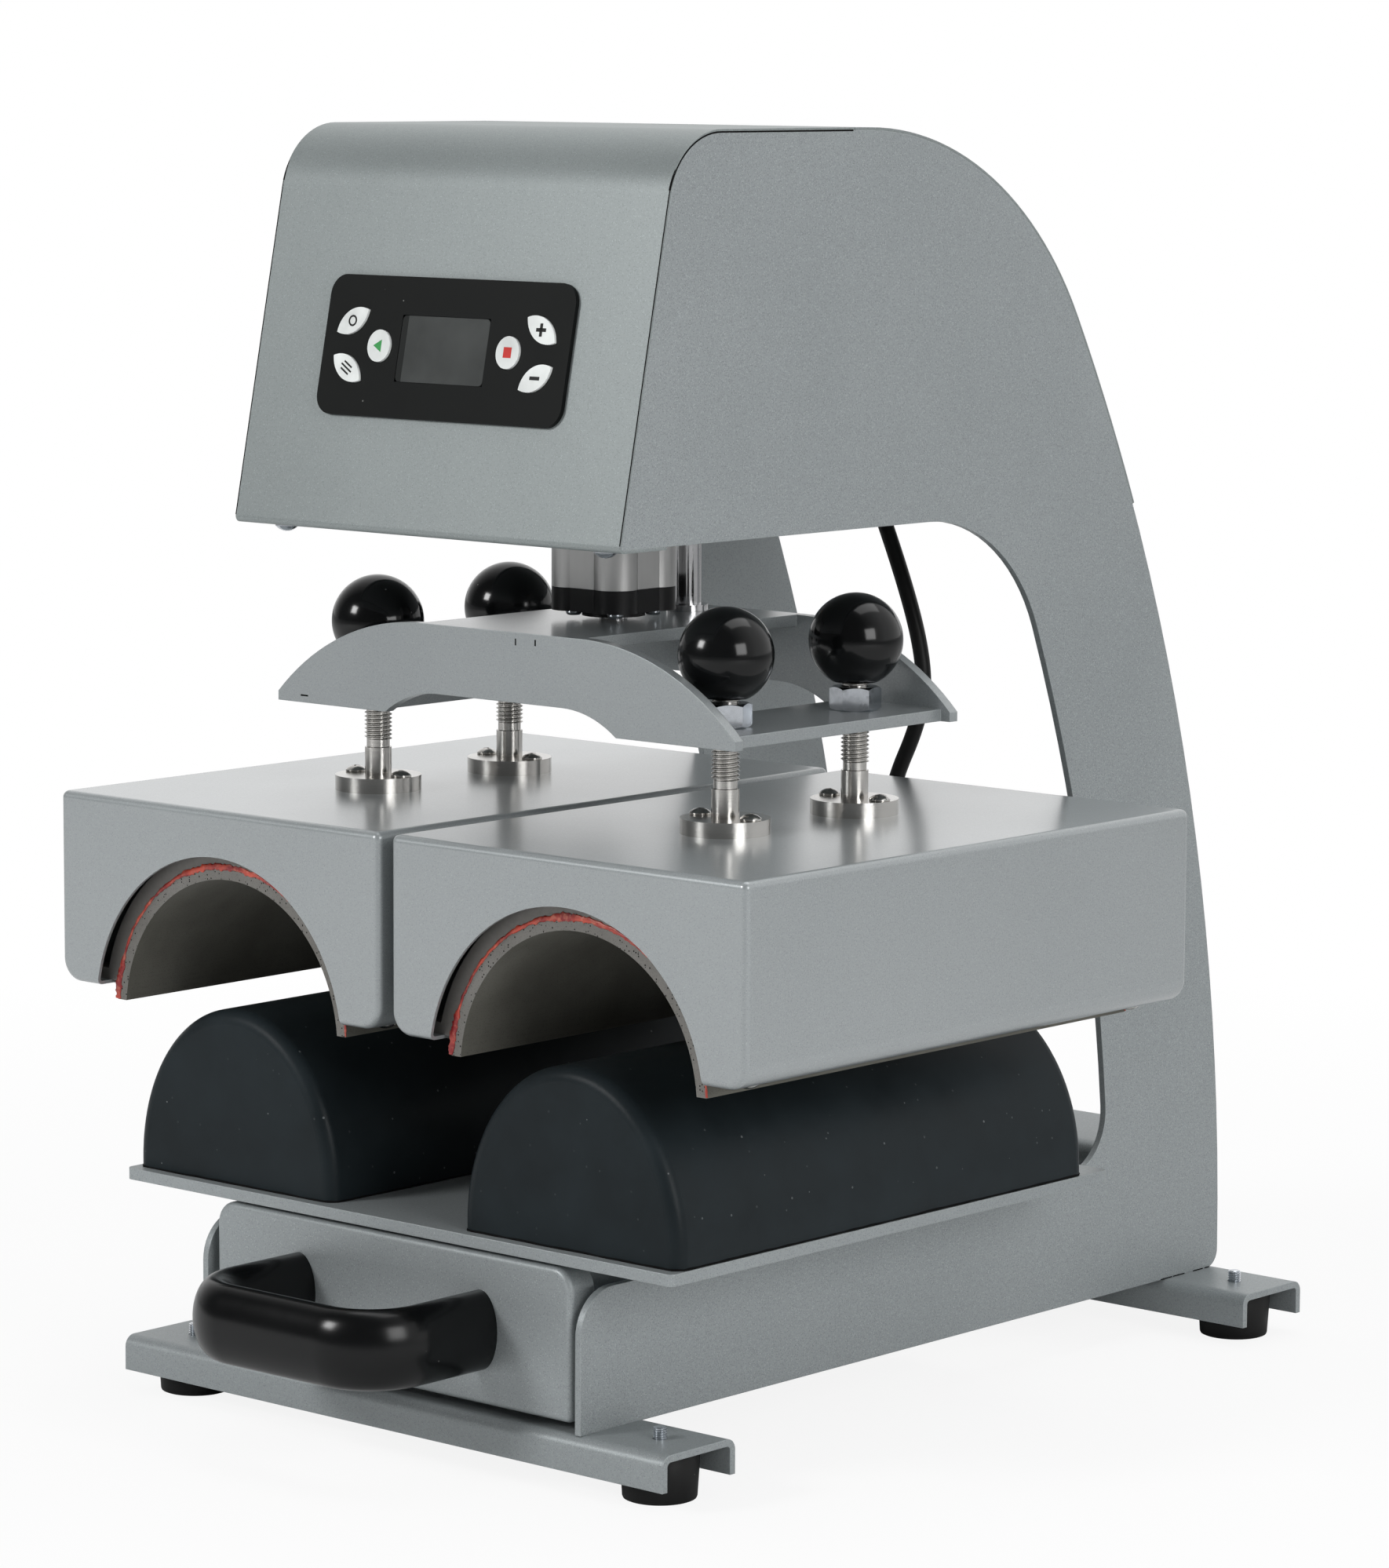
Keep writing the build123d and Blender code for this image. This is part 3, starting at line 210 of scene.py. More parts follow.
# %% [markdown]
# ## Adjusting studs
# Each platen hangs on two M12 studs, and the photograph shows their bright thread
# turns below the bridge and above the lock nuts. A bump pattern would give the same
# ring at every height, but a real thread climbs. Blender's spin operator takes a step
# along the axis as well as an angle, so one tooth of the thread is spun into a true
# helix, turn after turn, and then cut flat at both ends.

# %% Lathe and thread helpers
def lathe(bm, outline, centre, steps=48):
    """Spin a half outline of (radius, height) points about a vertical line."""
    verts = [bm.verts.new((centre[0] + r, centre[1], z)) for r, z in outline]
    edges = [bm.edges.new(pair) for pair in zip(verts, verts[1:])]
    bmesh.ops.spin(bm, geom=verts + edges, cent=(centre[0], centre[1], 0), axis=(0, 0, 1),
                   angle=2 * pi, steps=steps, use_merge=True)


def thread(bm, centre, low, high, radius, pitch, depth, steps=32):
    """Helical thread between two heights, cut flat and closed at its ends."""
    turns = int((high - low) / pitch) + 3
    start = low - 1.5 * pitch
    tooth = [(radius - depth, 0.0), (radius - depth, 0.125), (radius, 0.44),
             (radius, 0.56), (radius - depth, 0.875), (radius - depth, 1.0)]
    own = bmesh.new()
    verts = [own.verts.new((centre[0] + r, centre[1], start + u * pitch)) for r, u in tooth]
    edges = [own.edges.new(pair) for pair in zip(verts, verts[1:])]
    bmesh.ops.spin(own, geom=verts + edges, cent=(centre[0], centre[1], 0), axis=(0, 0, 1),
                   dvec=(0, 0, pitch / steps), angle=2 * pi * turns, steps=steps * turns)
    bmesh.ops.remove_doubles(own, verts=own.verts, dist=0.01)
    for height, up in ((low, -1), (high, 1)):
        bmesh.ops.bisect_plane(own, geom=own.verts[:] + own.edges[:] + own.faces[:],
                               plane_co=(0, 0, height), plane_no=(0, 0, up),
                               clear_outer=True)
        rim = [e for e in own.edges if e.is_boundary
               and all(abs(v.co.z - height) < 0.01 for v in e.verts)]
        bmesh.ops.holes_fill(own, edges=rim, sides=0)
    joined = bpy.data.meshes.new("thread")
    own.to_mesh(joined)
    own.free()
    bm.from_mesh(joined)
    bpy.data.meshes.remove(joined)


# %% The four studs
press_y = -42.5
stud_dy = 41.5
platen_x = 100.0
stud_low = 259.05     # foot of the stud in its flange
neck_r = 4.0          # smooth neck that the flange holds
core_r = 5.0
hub_top = 277.0
stud_top = 336.5
m12_pitch = 1.75
spots = {
    side + end: (x, y)
    for side, x in (("left_", -platen_x), ("right_", platen_x))
    for end, y in (("front", press_y - stud_dy), ("rear", press_y + stud_dy))
}
for place, spot in spots.items():
    bm = bmesh.new()
    lathe(bm, [(0, stud_low), (neck_r - 0.4, stud_low), (neck_r, stud_low + 0.4),
               (neck_r, hub_top + 0.06), (core_r - 0.1, hub_top + 0.06),
               (core_r, hub_top + 0.2), (core_r, hub_top + 3.4), (core_r, hub_top + 4.2),
               (0, hub_top + 4.2)], spot, 40)
    thread(bm, spot, hub_top + 3.5, stud_top, 5.98, m12_pitch, 0.95)
    piece(bm, place + "_thread", place + "_adjuster", "stainless_steel",
          hides=(place + "_stud",), sharp=28)

# %% [markdown]
# ## Ball knobs
# The knobs are turned phenolic balls with one flat, and their gloss shows every
# facet. The CAD ball is made of flat triangles, so each is replaced by a finely spun
# half outline: the flat with a shallow ring round the stud, then an arc over the top.

# %% Ball knobs
knob_z = 332.0
knob_r = 20.0
knob_flat = 17.5      # from the middle of the ball down to its flat
arc_steps = 44
flat_z = knob_z - knob_flat
flat_r = sqrt(knob_r**2 - knob_flat**2)
low = atan2(-knob_flat, flat_r)
swings = [low + (pi / 2 - low) * i / arc_steps for i in range(arc_steps + 1)]
arc = [(knob_r * cos(swing), knob_z + knob_r * sin(swing)) for swing in swings]
arc[-1] = (0, knob_z + knob_r)
for place, spot in spots.items():
    bm = bmesh.new()
    lathe(bm, [(0, flat_z + 0.8), (6.3, flat_z + 0.8), (6.3, flat_z + 0.1), (6.6, flat_z),
               (flat_r - 0.5, flat_z)] + arc, spot, 72)
    piece(bm, place + "_ball", place + "_adjuster", "black_phenolic",
          hides=(place + "_knob",), sharp=40)

# %% [markdown]
# ## Pan-head screws
# Small cross-recess screws hold the stud flanges, and eight more hold the heater
# shells from below. The recess is what makes them read as screws. One screw is made
# at the origin: a spun dome, from which two tapered bars are taken by a Boolean
# modifier. Its finished mesh is then copied into place with its own turn each time,
# because no two screws stop at the same angle.

# %% One screw with a cross recess
def block(bm, size, place, low_scale=1.0):
    """Box of a size about a centre, its low end drawn in by a factor."""
    made = bmesh.ops.create_cube(bm, size=1, matrix=Matrix.Translation(place))["verts"]
    bmesh.ops.scale(bm, vec=size, space=Matrix.Translation(-Vector(place)), verts=made)
    low = [v for v in made if v.co.z < place[2]]
    bmesh.ops.scale(bm, vec=(low_scale, low_scale, 1),
                    space=Matrix.Translation(-Vector(place)), verts=low)


def turned_solid(outline, steps):
    """Closed spun body at the origin, ready for a Boolean."""
    bm = bmesh.new()
    lathe(bm, outline, (0, 0), steps)
    bmesh.ops.remove_doubles(bm, verts=bm.verts, dist=0.001)
    bmesh.ops.recalc_face_normals(bm, faces=bm.faces)
    return bm


def carved(bm, cutters, name, keep_inside=False):
    """Mesh of bm with the cutter meshes taken away, or only what is inside them."""
    base = bpy.data.meshes.new(name)
    bmesh.ops.recalc_face_normals(bm, faces=bm.faces)
    bm.to_mesh(base)
    bm.free()
    held = put(name, base)
    tools = []
    for cut in cutters:
        shape = bpy.data.meshes.new("cutter")
        cut.to_mesh(shape)
        cut.free()
        tools.append(put("cutter", shape))
        step = held.modifiers.new("cut", "BOOLEAN")
        step.operation = "INTERSECT" if keep_inside else "DIFFERENCE"
        step.solver = "EXACT"
        step.object = tools[-1]
    bpy.context.view_layer.update()
    graph = bpy.context.evaluated_depsgraph_get()
    result = bpy.data.meshes.new_from_object(held.evaluated_get(graph))
    for extra in tools + [held]:
        bpy.data.objects.remove(extra)
    return result


head_r = 4.5
head_h = 2.8
edge_h = 0.9          # straight edge below the dome
shank_r, shank_low = 1.9, -7.9
dome_h = head_h - edge_h
dome_r = (head_r**2 + dome_h**2) / (2 * dome_h)
dome_steps = 8
dome = []
for i in range(dome_steps + 1):
    swing = (1 - i / dome_steps) * atan2(head_r, dome_r - dome_h)
    dome.append((dome_r * sin(swing), head_h - dome_r * (1 - cos(swing))))
dome[-1] = (0, head_h)
bm = turned_solid([(0, shank_low), (shank_r, shank_low), (shank_r, 0.0),
                   (head_r - 0.15, 0.0), (head_r, 0.15)] + dome, 40)
cuts = []
for turned in (0, pi / 2):
    cut = bmesh.new()
    block(cut, (5.0, 1.05, 3.2), (0, 0, head_h), 0.55)
    bmesh.ops.rotate(cut, matrix=Matrix.Rotation(turned, 3, "Z"), verts=cut.verts)
    cuts.append(cut)
screw_mesh = carved(bm, cuts, "pan_screw")
print("screw faces", len(screw_mesh.polygons))

# %% Screws of both platens
platen_top = 258.5
platen_low = 175.5
flange_h = 6.5
flange_screw_at = 13.7    # from the stud's axis
shell_front = -174.0
shell_back = 98.0
shell_screw_in = 12
arch_r = 75.0
shell_half_w = 193.0 / 2 - 10.0 - 0.25    # half the platen, less its low bend and a gap
foot_mid = (arch_r + shell_half_w) / 2    # middle of the shell's flat foot


def add_copy(bm, mesh, place, turned, head_down=False, grow=(1, 1, 1)):
    """Copy of a mesh: grown, turned about its axis, set head down and moved."""
    have = len(bm.verts)
    bm.from_mesh(mesh)
    bm.verts.ensure_lookup_table()
    own = bm.verts[have:]
    bmesh.ops.scale(bm, vec=grow, verts=own)
    bmesh.ops.rotate(bm, matrix=Matrix.Rotation(turned, 3, "Z"), verts=own)
    if head_down:
        bmesh.ops.rotate(bm, matrix=Matrix.Rotation(pi, 3, "X"), verts=own)
    bmesh.ops.translate(bm, vec=place, verts=own)


for side, label in ((-1, "left"), (1, "right")):
    mid = side * platen_x
    heads = [((mid + sx * flange_screw_at, y, platen_top + flange_h), False)
             for y in (press_y - stud_dy, press_y + stud_dy) for sx in (-1, 1)]
    heads += [((mid + sx * foot_mid, y, platen_low), True) for sx in (-1, 1)
              for y in (shell_front + shell_screw_in, shell_back - shell_screw_in)]
    bm = bmesh.new()
    for index, (place, head_down) in enumerate(heads):
        add_copy(bm, screw_mesh, place, 0.5 + 1.1 * index, head_down)
    piece(bm, label + "_pan_screws", label + "_platen", "stainless_steel",
          hides=(label + "_platen_screws",), merge=None, sharp=30)

# %% [markdown]
# ## Lock nuts
# A hexagon nut isn't a plain prism: its corners are turned off at both ends, which
# leaves the curved edges that catch the light. So a six-sided prism is kept only
# where it is inside a spun body with sloping ends, and a bore is then taken from it.
# Each nut stops at its own angle, and one flat of each faces forward and right.

# %% Lock nuts with turned-off corners
nut_low = 302.5
nut_h = 10.0
across_flats = 19.0
corner_r = across_flats / 2 / cos(pi / 6)
nut_turns = (8, 25, 20, 11)      # degrees


def raise_faces(bm, height):
    """Extrude all faces straight up."""
    risen = bmesh.ops.extrude_face_region(bm, geom=bm.faces[:])["geom"]
    tops = [g for g in risen if isinstance(g, bmesh.types.BMVert)]
    bmesh.ops.translate(bm, vec=(0, 0, height), verts=tops)


prism = bmesh.new()
bmesh.ops.create_circle(prism, cap_ends=True, segments=6, radius=corner_r)
raise_faces(prism, nut_h)
blunting = turned_solid([(0, -0.01), (9.3, -0.01), (11.4, 1.2), (11.4, nut_h - 1.2),
                         (9.3, nut_h + 0.01), (0, nut_h + 0.01)], 72)
whole = bmesh.new()
whole.from_mesh(carved(prism, [blunting], "nut", keep_inside=True))
bore = turned_solid([(0, -2), (6.06, -2), (6.06, 12), (0, 12)], 48)
nut_mesh = carved(whole, [bore], "nut")
bm = bmesh.new()
for spot, turned in zip(spots.values(), nut_turns):
    add_copy(bm, nut_mesh, (*spot, nut_low), radians(turned))
piece(bm, "hexagon_nuts", "press_head", "zinc_plated_steel", hides=("lock_nuts",),
      merge=None, sharp=20)

# %% [markdown]
# ## Red sealant between heater shell and foam
# A line of red high-temperature silicone closes the joint between the aluminium
# shell and the foam liner. It was laid by hand, so it is ragged, thick in places and
# missing in others. A circle is spun along the arch, and each ring's points are then
# moved by noise, so that the bead swells and thins and sometimes sinks out of sight.

# %% Sealant beads
# degrees round the arch, half width in mm
bead_width = [(0, 0.5), (12, 0.55), (16, 1.15), (22, 0.9), (30, 0.12), (42, 0.16),
              (55, 0.45), (68, 0.75), (80, 1.15), (96, 1.5), (108, 1.3), (118, 0.85),
              (132, 0.7), (146, 0.55), (158, 0.7), (165, 1.5), (174, 1.7), (180, 1.2)]


def laid_width(turn_deg):
    """Half width of the bead in mm at an angle round the arch, as it was laid by hand."""
    for (a, low), (b, high) in zip(bead_width, bead_width[1:]):
        if a <= turn_deg <= b:
            return low + (high - low) * (turn_deg - a) / (b - a)
    return 0.3


arch_z = 163.5
bead_r = 69.9
bead_low = 169.4      # end of the liner
bead_steps = 260
thinnest = 0.05
proud, sunk = 0.10, -0.3


def bead(name, side, y_face, outwards, seed):
    """Ragged bead along the arch of one platen on its front or rear face."""
    mid = side * platen_x
    begin = atan2(bead_low - arch_z, sqrt(bead_r**2 - (bead_low - arch_z)**2))
    bm = bmesh.new()
    ring = bmesh.ops.create_circle(
        bm, segments=10, radius=1.0,
        matrix=Matrix.Translation((mid + bead_r, y_face, arch_z)))["verts"]
    bmesh.ops.rotate(bm, cent=(mid, y_face, arch_z), matrix=Matrix.Rotation(-begin, 3, "Y"),
                     verts=ring)
    geom = ring + list({e for v in ring for e in v.link_edges})
    bmesh.ops.spin(bm, geom=geom, cent=(mid, y_face, arch_z), axis=(0, -1, 0),
                   angle=pi - 2 * begin, steps=bead_steps)
    bmesh.ops.holes_fill(bm, edges=[e for e in bm.edges if e.is_boundary], sides=0)
    for v in bm.verts:
        out = Vector((v.co.x - mid, 0, v.co.z - arch_z))
        turn_at = atan2(out.z, out.x)
        mean = out.normalized() * bead_r
        across = out.length - bead_r
        deep = v.co.y - y_face
        at = Vector((turn_at * 9.0, seed, 0))
        laid = laid_width(abs(turn_at) * 180 / pi)
        # a slow and a quick wave along the arch, then its wander and its skin
        swell = 1 + 0.55 * noise.noise(at) + 0.45 * noise.noise(at * 4.1)
        lump = max(thinnest, laid * swell)
        wander = 0.45 * noise.noise(at * 2.3 + Vector((5, 0, 0)))
        rough = 1 + 0.5 * noise.noise(Vector((turn_at * 70, across * 1.4, seed)))
        place = mean + out.normalized() * (wander + across * lump * rough)
        middle_y = y_face + outwards * (proud if lump > 2 * thinnest else sunk)
        v.co = (mid + place.x, middle_y + deep * min(lump, 0.9) * 0.55 * rough,
                arch_z + place.z)
    return piece(bm, name, ("left" if side < 0 else "right") + "_platen", "red_silicone",
                 sharp=60)


for side, label in ((-1, "left"), (1, "right")):
    bead(label + "_front_sealant", side, shell_front, -1, 3.0 + side)
    bead(label + "_rear_sealant", side, shell_back, 1, 8.0 + side)

# %% [markdown]
# ## Rubber feet with threaded studs
# The feet are moulded rubber cones with an M6 stud that goes up through the channel,
# where 5 mm of its thread stand out. The CAD stud is a smooth pin, so feet and studs
# are made again: the cone is spun, slightly wider at its top, with rounded rims and a
# hollow below, and the stud gets a helical thread like the adjusting studs.

# %% Feet
feet_low, feet_high = (v * 1000 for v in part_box("rubber_feet"))
foot_x = 135.0
foot_top_r = feet_high.x - foot_x
foot_r = foot_top_r - 1.25
foot_ys = (feet_low.y + foot_top_r, feet_high.y - foot_top_r)
foot_top = 21.0
foot_hollow = 1.2     # depth of the hollow below
m6_r = 2.98
pin_top = 29.0        # 5 mm above the channel
rubber = bmesh.new()
studs = bmesh.new()
for x in (-foot_x, foot_x):
    for y in foot_ys:
        lathe(rubber, [(0, foot_hollow), (6.0, foot_hollow), (6.6, 0.0),
                       (foot_r - 1.0, 0.0), (foot_r - 0.3, 0.3), (foot_r, 1.0),
                       (foot_top_r, foot_top - 0.6), (foot_top_r - 0.6, foot_top),
                       (0, foot_top)], (x, y), 56)
        lathe(studs, [(0, foot_top - 3), (2.55, foot_top - 3), (2.55, pin_top - 0.4),
                      (2.1, pin_top), (0, pin_top)], (x, y), 24)
        thread(studs, (x, y), foot_top, pin_top - 0.2, m6_r, 1.0, 0.5, steps=24)
piece(rubber, "rubber_cones", "frame", "foot_rubber", hides=("rubber_feet",), sharp=50)
piece(studs, "foot_threads", "frame", "zinc_plated_steel", sharp=28)
print("feet", foot_ys, foot_r)

# %% [markdown]
# ## Key signs and the screen
# The six keys carry bold printed signs: plus, minus, a ring, three bars, a green
# triangle and a red square. They could be painted by a texture, but a printed layer
# has edges of its own, so each sign is a flat outline with a thickness of a sixth of
# a millimetre, laid on the slope of the panel and riding on its own key.

# %% Frame of the sloping panel
slope = radians(11.7)
panel_n = Vector((0, -cos(slope), sin(slope)))
panel_up_dir = Vector((0, sin(slope), cos(slope)))
panel_mid = Vector((0, -160.0, 380.0)) + panel_up_dir * 76.5
panel_t = 2.0
key_top = panel_t + 1.0


def on_panel(bm, verts, x, up, height, turned=0.0):
    """Lay points drawn flat at the origin on the sloping panel."""
    bmesh.ops.rotate(bm, matrix=Matrix.Rotation(turned, 3, "Z"), verts=verts)
    stand = Matrix((Vector((1, 0, 0)), panel_up_dir, panel_n)).transposed().to_4x4()
    place = panel_mid + Vector((x, 0, 0)) + panel_up_dir * up + panel_n * height
    bmesh.ops.transform(bm, matrix=Matrix.Translation(place) @ stand, verts=verts)


def disc(bm, radius, sides, hole, thick):
    """Flat disc or ring of any number of sides."""
    bmesh.ops.create_circle(bm, cap_ends=not hole, segments=sides, radius=radius)
    if hole:
        bmesh.ops.create_circle(bm, segments=sides, radius=hole)
        bmesh.ops.bridge_loops(bm, edges=bm.edges[:])
    raise_faces(bm, thick)
    bmesh.ops.translate(bm, vec=(0, 0, -thick / 2), verts=bm.verts)


# %% Signs on the keys
key_leaf_x = 53.5
key_leaf_up = 9.9
key_oval_x = 36.6
ink_t = 0.16
plus_minus = [(5.4, 1.5, 0), (1.5, 5.4, 0)]      # strokes: width, height, shift up
three_bars = [(5.3, 0.75, -1.7), (7.0, 0.75, 0), (5.3, 0.75, 1.7)]
for key, strokes, discs, x, up, turned, ink in (      # discs: radius, sides, hole
        ("plus", plus_minus, (), key_leaf_x, key_leaf_up, 0, "ink_black"),
        ("minus", plus_minus[:1], (), key_leaf_x, -key_leaf_up, 0, "ink_black"),
        ("set", (), [(2.4, 32, 1.6)], -key_leaf_x, key_leaf_up, 0, "ink_black"),
        ("mode", three_bars, (), -key_leaf_x, -key_leaf_up, -31, "ink_black"),
        ("enter", (), [(3.0, 3, 0)], -key_oval_x, 0, 90, "ink_green"),
        ("stop", (), [(3.1, 4, 0)], key_oval_x, 0, 45, "ink_red")):
    bm = bmesh.new()
    for wide, high, shift in strokes:
        block(bm, (wide, high, ink_t), (0, shift, 0))
    for outline in discs:
        disc(bm, *outline, ink_t)
    on_panel(bm, bm.verts[:], x, up, key_top, radians(turned))
    piece(bm, key + "_sign", key + "_button", ink)

# %% Screen lens with rounded corners
lens_w, lens_h, lens_t = 49.8, 27.8, 1.1
lens_x, lens_up = -0.9, -0.5      # off the middle of the panel
lens_sunk = 0.62                  # its middle below the face of the bezel
bm = bmesh.new()
block(bm, (lens_w, lens_h, lens_t), (0, 0, 0))
as_edges = {"offset_type": "OFFSET", "affect": "EDGES", "profile": 0.5, "material": -1}
upright = [e for e in bm.edges if abs(e.verts[0].co.z - e.verts[1].co.z) > 0.5]
bmesh.ops.bevel(bm, geom=upright, offset=2.2, segments=6, **as_edges)
top_rim = [e for e in bm.edges if all(v.co.z > 0.5 for v in e.verts) and e.is_manifold
           and any(f.normal.z < 0.5 for f in e.link_faces)]
bmesh.ops.bevel(bm, geom=top_rim, offset=0.25, segments=2, **as_edges)
on_panel(bm, bm.verts[:], lens_x, lens_up, panel_t - lens_sunk)
piece(bm, "screen_lens", "frame", "grey_screen", hides=("panel_screen",), sharp=8)

# %% [markdown]
# ## Grommet and small fasteners
# The cable passes the head floor in a rubber grommet. The black cap of the air
# cylinder is held by a tie screw with a round recess at each corner, seen from below,
# and the front cover by two screws from below. Grommet and tie screws are spun
# outlines, and the cover screws are larger copies of the pan-head screw.

# %% Grommet in the head floor
grommet_at = (9.0, 120.0)
bm = bmesh.new()
ring = [(8.2, 378.6), (8.6, 379.2), (8.4, 379.9), (5.9, 380.0), (5.9, 383.0),
        (8.4, 383.1), (8.6, 383.8), (8.2, 384.4), (4.2, 384.4), (3.6, 383.6),
        (3.6, 379.4), (4.2, 378.7), (5.95, 378.7)]
lathe(bm, ring + ring[:1], grommet_at, 40)
piece(bm, "cable_grommet", "frame", "cable_rubber")

# %% Tie screws under the cylinder cap
cap_low = 341.0
tie_at = 12.0         # from the cylinder's axis to each side
bm = bmesh.new()
for sx in (-1, 1):
    for sy in (-1, 1):
        lathe(bm, [(0, cap_low), (3.5, cap_low), (3.5, cap_low - 1.2),
                   (3.2, cap_low - 1.9), (2.5, cap_low - 2.4), (1.7, cap_low - 2.5),
                   (1.7, cap_low - 1.4), (0, cap_low - 1.2)],
              (sx * tie_at, press_y + sy * tie_at), 28)
piece(bm, "tie_screws", "frame", "zinc_plated_steel")

# %% Screws under the front cover
cover_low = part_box("front_cover")[0].z * 1000
cover_screw_x, cover_screw_y = 91.0, -147.5
bm = bmesh.new()
for index, side in enumerate((-1, 1)):
    add_copy(bm, screw_mesh, (side * cover_screw_x, cover_screw_y, cover_low),
             0.4 + index, head_down=True, grow=(1.1, 1.1, 1.25))
bmesh.ops.bisect_plane(bm, geom=bm.verts[:] + bm.edges[:] + bm.faces[:],
                       plane_co=(0, 0, cover_low + 0.6), plane_no=(0, 0, 1),
                       clear_outer=True)      # the shank inside the head isn't needed
piece(bm, "cover_screws", "frame", "zinc_plated_steel", merge=None, sharp=30)
print("cover low", cover_low)

# %% [markdown]
# ## Marks of making
# A welded and folded sheet frame carries small signs of how it was made. The front
# cover leaves a gap where it meets each side plate, the foot of the side plate is
# welded in short runs with slits between them, and a few tab slots and dimples show
# through the paint. Their darkness is painted shade: the shade in the gap is a round
# dark strand led along the edge of the plate, thin up the front and wider over the
# bend and the top, and the shade in the others is small dark slivers set almost flush.

# %% Gap between the front cover and the side plates
plate_x = 109.5       # outer face of the side plates
plate_top = 545.0
head_z, head_front = 380.0, -160.0
bend_r = 32.0
bend_steps = 16
gap_thin, gap_wide = 0.24, 0.46
corner_y = head_front + (plate_top - head_z) * sin(slope) / cos(slope)
reach = bend_r * sin((pi / 2 - slope) / 2) / cos((pi / 2 - slope) / 2)
bend_mid = Vector((0, corner_y + reach, plate_top - bend_r))
gap_line = [Vector((0, head_front, head_z)) + panel_up_dir * u for u in (2, 40, 80, 120)]
for i in range(bend_steps + 1):
    lean = slope + (pi / 2 - slope) * i / bend_steps
    gap_line.append(bend_mid + Vector((0, -cos(lean), sin(lean))) * bend_r)
gap_line += [Vector((0, y, plate_top)) for y in (-80, -50, -17)]
# the dark strand is painted shade: it stands for the shade inside the gap
for side, label in ((-1, "left"), (1, "right")):
    for part, run, inset, radius in (("low", gap_line[:6], 0.08, gap_thin),
                                     ("top", gap_line[5:], 0.25, gap_wide)):
        led = [Vector((side * (plate_x - inset), p.y, p.z)) for p in run]
        piece(tube(led, radius, 8), f"{label}_cover_gap_{part}", "frame", "deep_shadow")

# %% [markdown]
# ## Glue at the foot of the formers
# The rubber formers are bonded to the table, and a little black glue has come out all
# round their foot. A thin strand is led round the footprint with rounded corners, and
# each of its points is shifted by a small random step, so the line looks hand-laid.

# %% Glue line of the formers
glue_r = 0.55
glue_corner = 6       # radius at the corners of the footprint
glue_step = 6         # between two points along its sides
stray = 0.25
chance = random.Random(5)      # the same draws in each run


def on_corner(x, y, z, degrees):
    """Point on the rounded corner about (x, y)."""
    turned = radians(degrees)
    return Vector((x + glue_corner * cos(turned), y + glue_corner * sin(turned), z))


for label in ("left_former", "right_former"):
    low, high = (c * 1000 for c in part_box(label))
    near_x, far_x = low.x + glue_corner, high.x - glue_corner
    near_y, far_y = low.y + glue_corner, high.y - glue_corner
    corners = ((far_x, near_y, -90), (far_x, far_y, 0),
               (near_x, far_y, 90), (near_x, near_y, 180))
    around = []
    for place, (x, y, first_angle) in enumerate(corners):
        around += [on_corner(x, y, low.z, first_angle + 22.5 * i) for i in range(5)]
        x, y, next_angle = corners[(place + 1) % 4]
        origin, goal = around[-1].copy(), on_corner(x, y, low.z, next_angle)
        steps = int((goal - origin).length / glue_step)
        around += [origin.lerp(goal, k / steps) for k in range(1, steps)]
    laid = [p + Vector((chance.uniform(-stray, stray), chance.uniform(-stray, stray),
                        chance.uniform(0.05, 0.45))) for p in around]
    piece(tube(laid + laid[:1], glue_r, 8), label + "_glue", "drawer", "deep_shadow")

# %% Slits at the weld, tab slots and dimples
weld_slits = ((208.5, 217.0), (217.8, 226.5), (233.0, 240.5), (242.0, 245.5))
dimples = ((-110.3, 48.0, 0.9), (-31.2, 54.5, 1.1))      # y, z, radius
tab_slots = ((9.9, 333.0, 0.7, 2.8), (21.1, 333.4, 0.8, 2.6), (-115.0, 300.6, 4.5, 0.7))
# painted shade: dark slivers in the weld slits and dark sunk spheres in the dimples
bm = bmesh.new()
for side in (-1, 1):
    for y0, y1 in weld_slits:
        block(bm, (0.5, y1 - y0, 0.5), (side * (plate_x - 0.15), (y0 + y1) / 2, 24.25))
    for y, z, r in dimples:
        at = Matrix.Translation((side * (plate_x - r * 0.96), y, z))
        bmesh.ops.create_uvsphere(bm, u_segments=12, v_segments=8, radius=r, matrix=at)
piece(bm, "frame_slits", "frame", "deep_shadow", merge=None)
# painted shade: dark slivers in the tab slots of the bridge
bm = bmesh.new()
bridge_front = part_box("bridge")[0].y * 1000
for x, z, w, h in tab_slots:
    block(bm, (w, 0.4, h), (x, bridge_front + 0.14, z))
piece(bm, "bridge_slits", "press_head", "deep_shadow", merge=None)

# %% [markdown]
# ## Finishes shared by several materials
# Real surfaces are never one colour. Three effects turn up on many of them, so each
# is a node group with named inputs: grain, which is a fine cloudy value with a height
# for a bump; specks, which are scattered dots such as dust, flakes or pores; and
# edges, found by comparing the true normal with a rounded one, which give a rounded
# normal and a mask for a highlight painted along the edges. Each material places the
# groups with its own scales.

# %% Node helpers
def feed(tree, made, inputs):
    """Give a node its inputs: a socket is linked, and any other value is set."""
    for key, value in inputs.items():
        if isinstance(value, bpy.types.NodeSocket):
            tree.links.new(value, made.inputs[key])
        else:
            made.inputs[key].default_value = value


def node(tree, kind, inputs=None, **settings):
    """Add a node with its properties and inputs."""
    made = tree.nodes.new("ShaderNode" + kind)
    for key, value in settings.items():
        setattr(made, key, value)
    feed(tree, made, inputs or {})
    return made


def calc(tree, operation, first, second=None):
    """Result of a Math node on one or two values or sockets."""
    inputs = {0: first} if second is None else {0: first, 1: second}
    return node(tree, "Math", inputs, operation=operation).outputs[0]


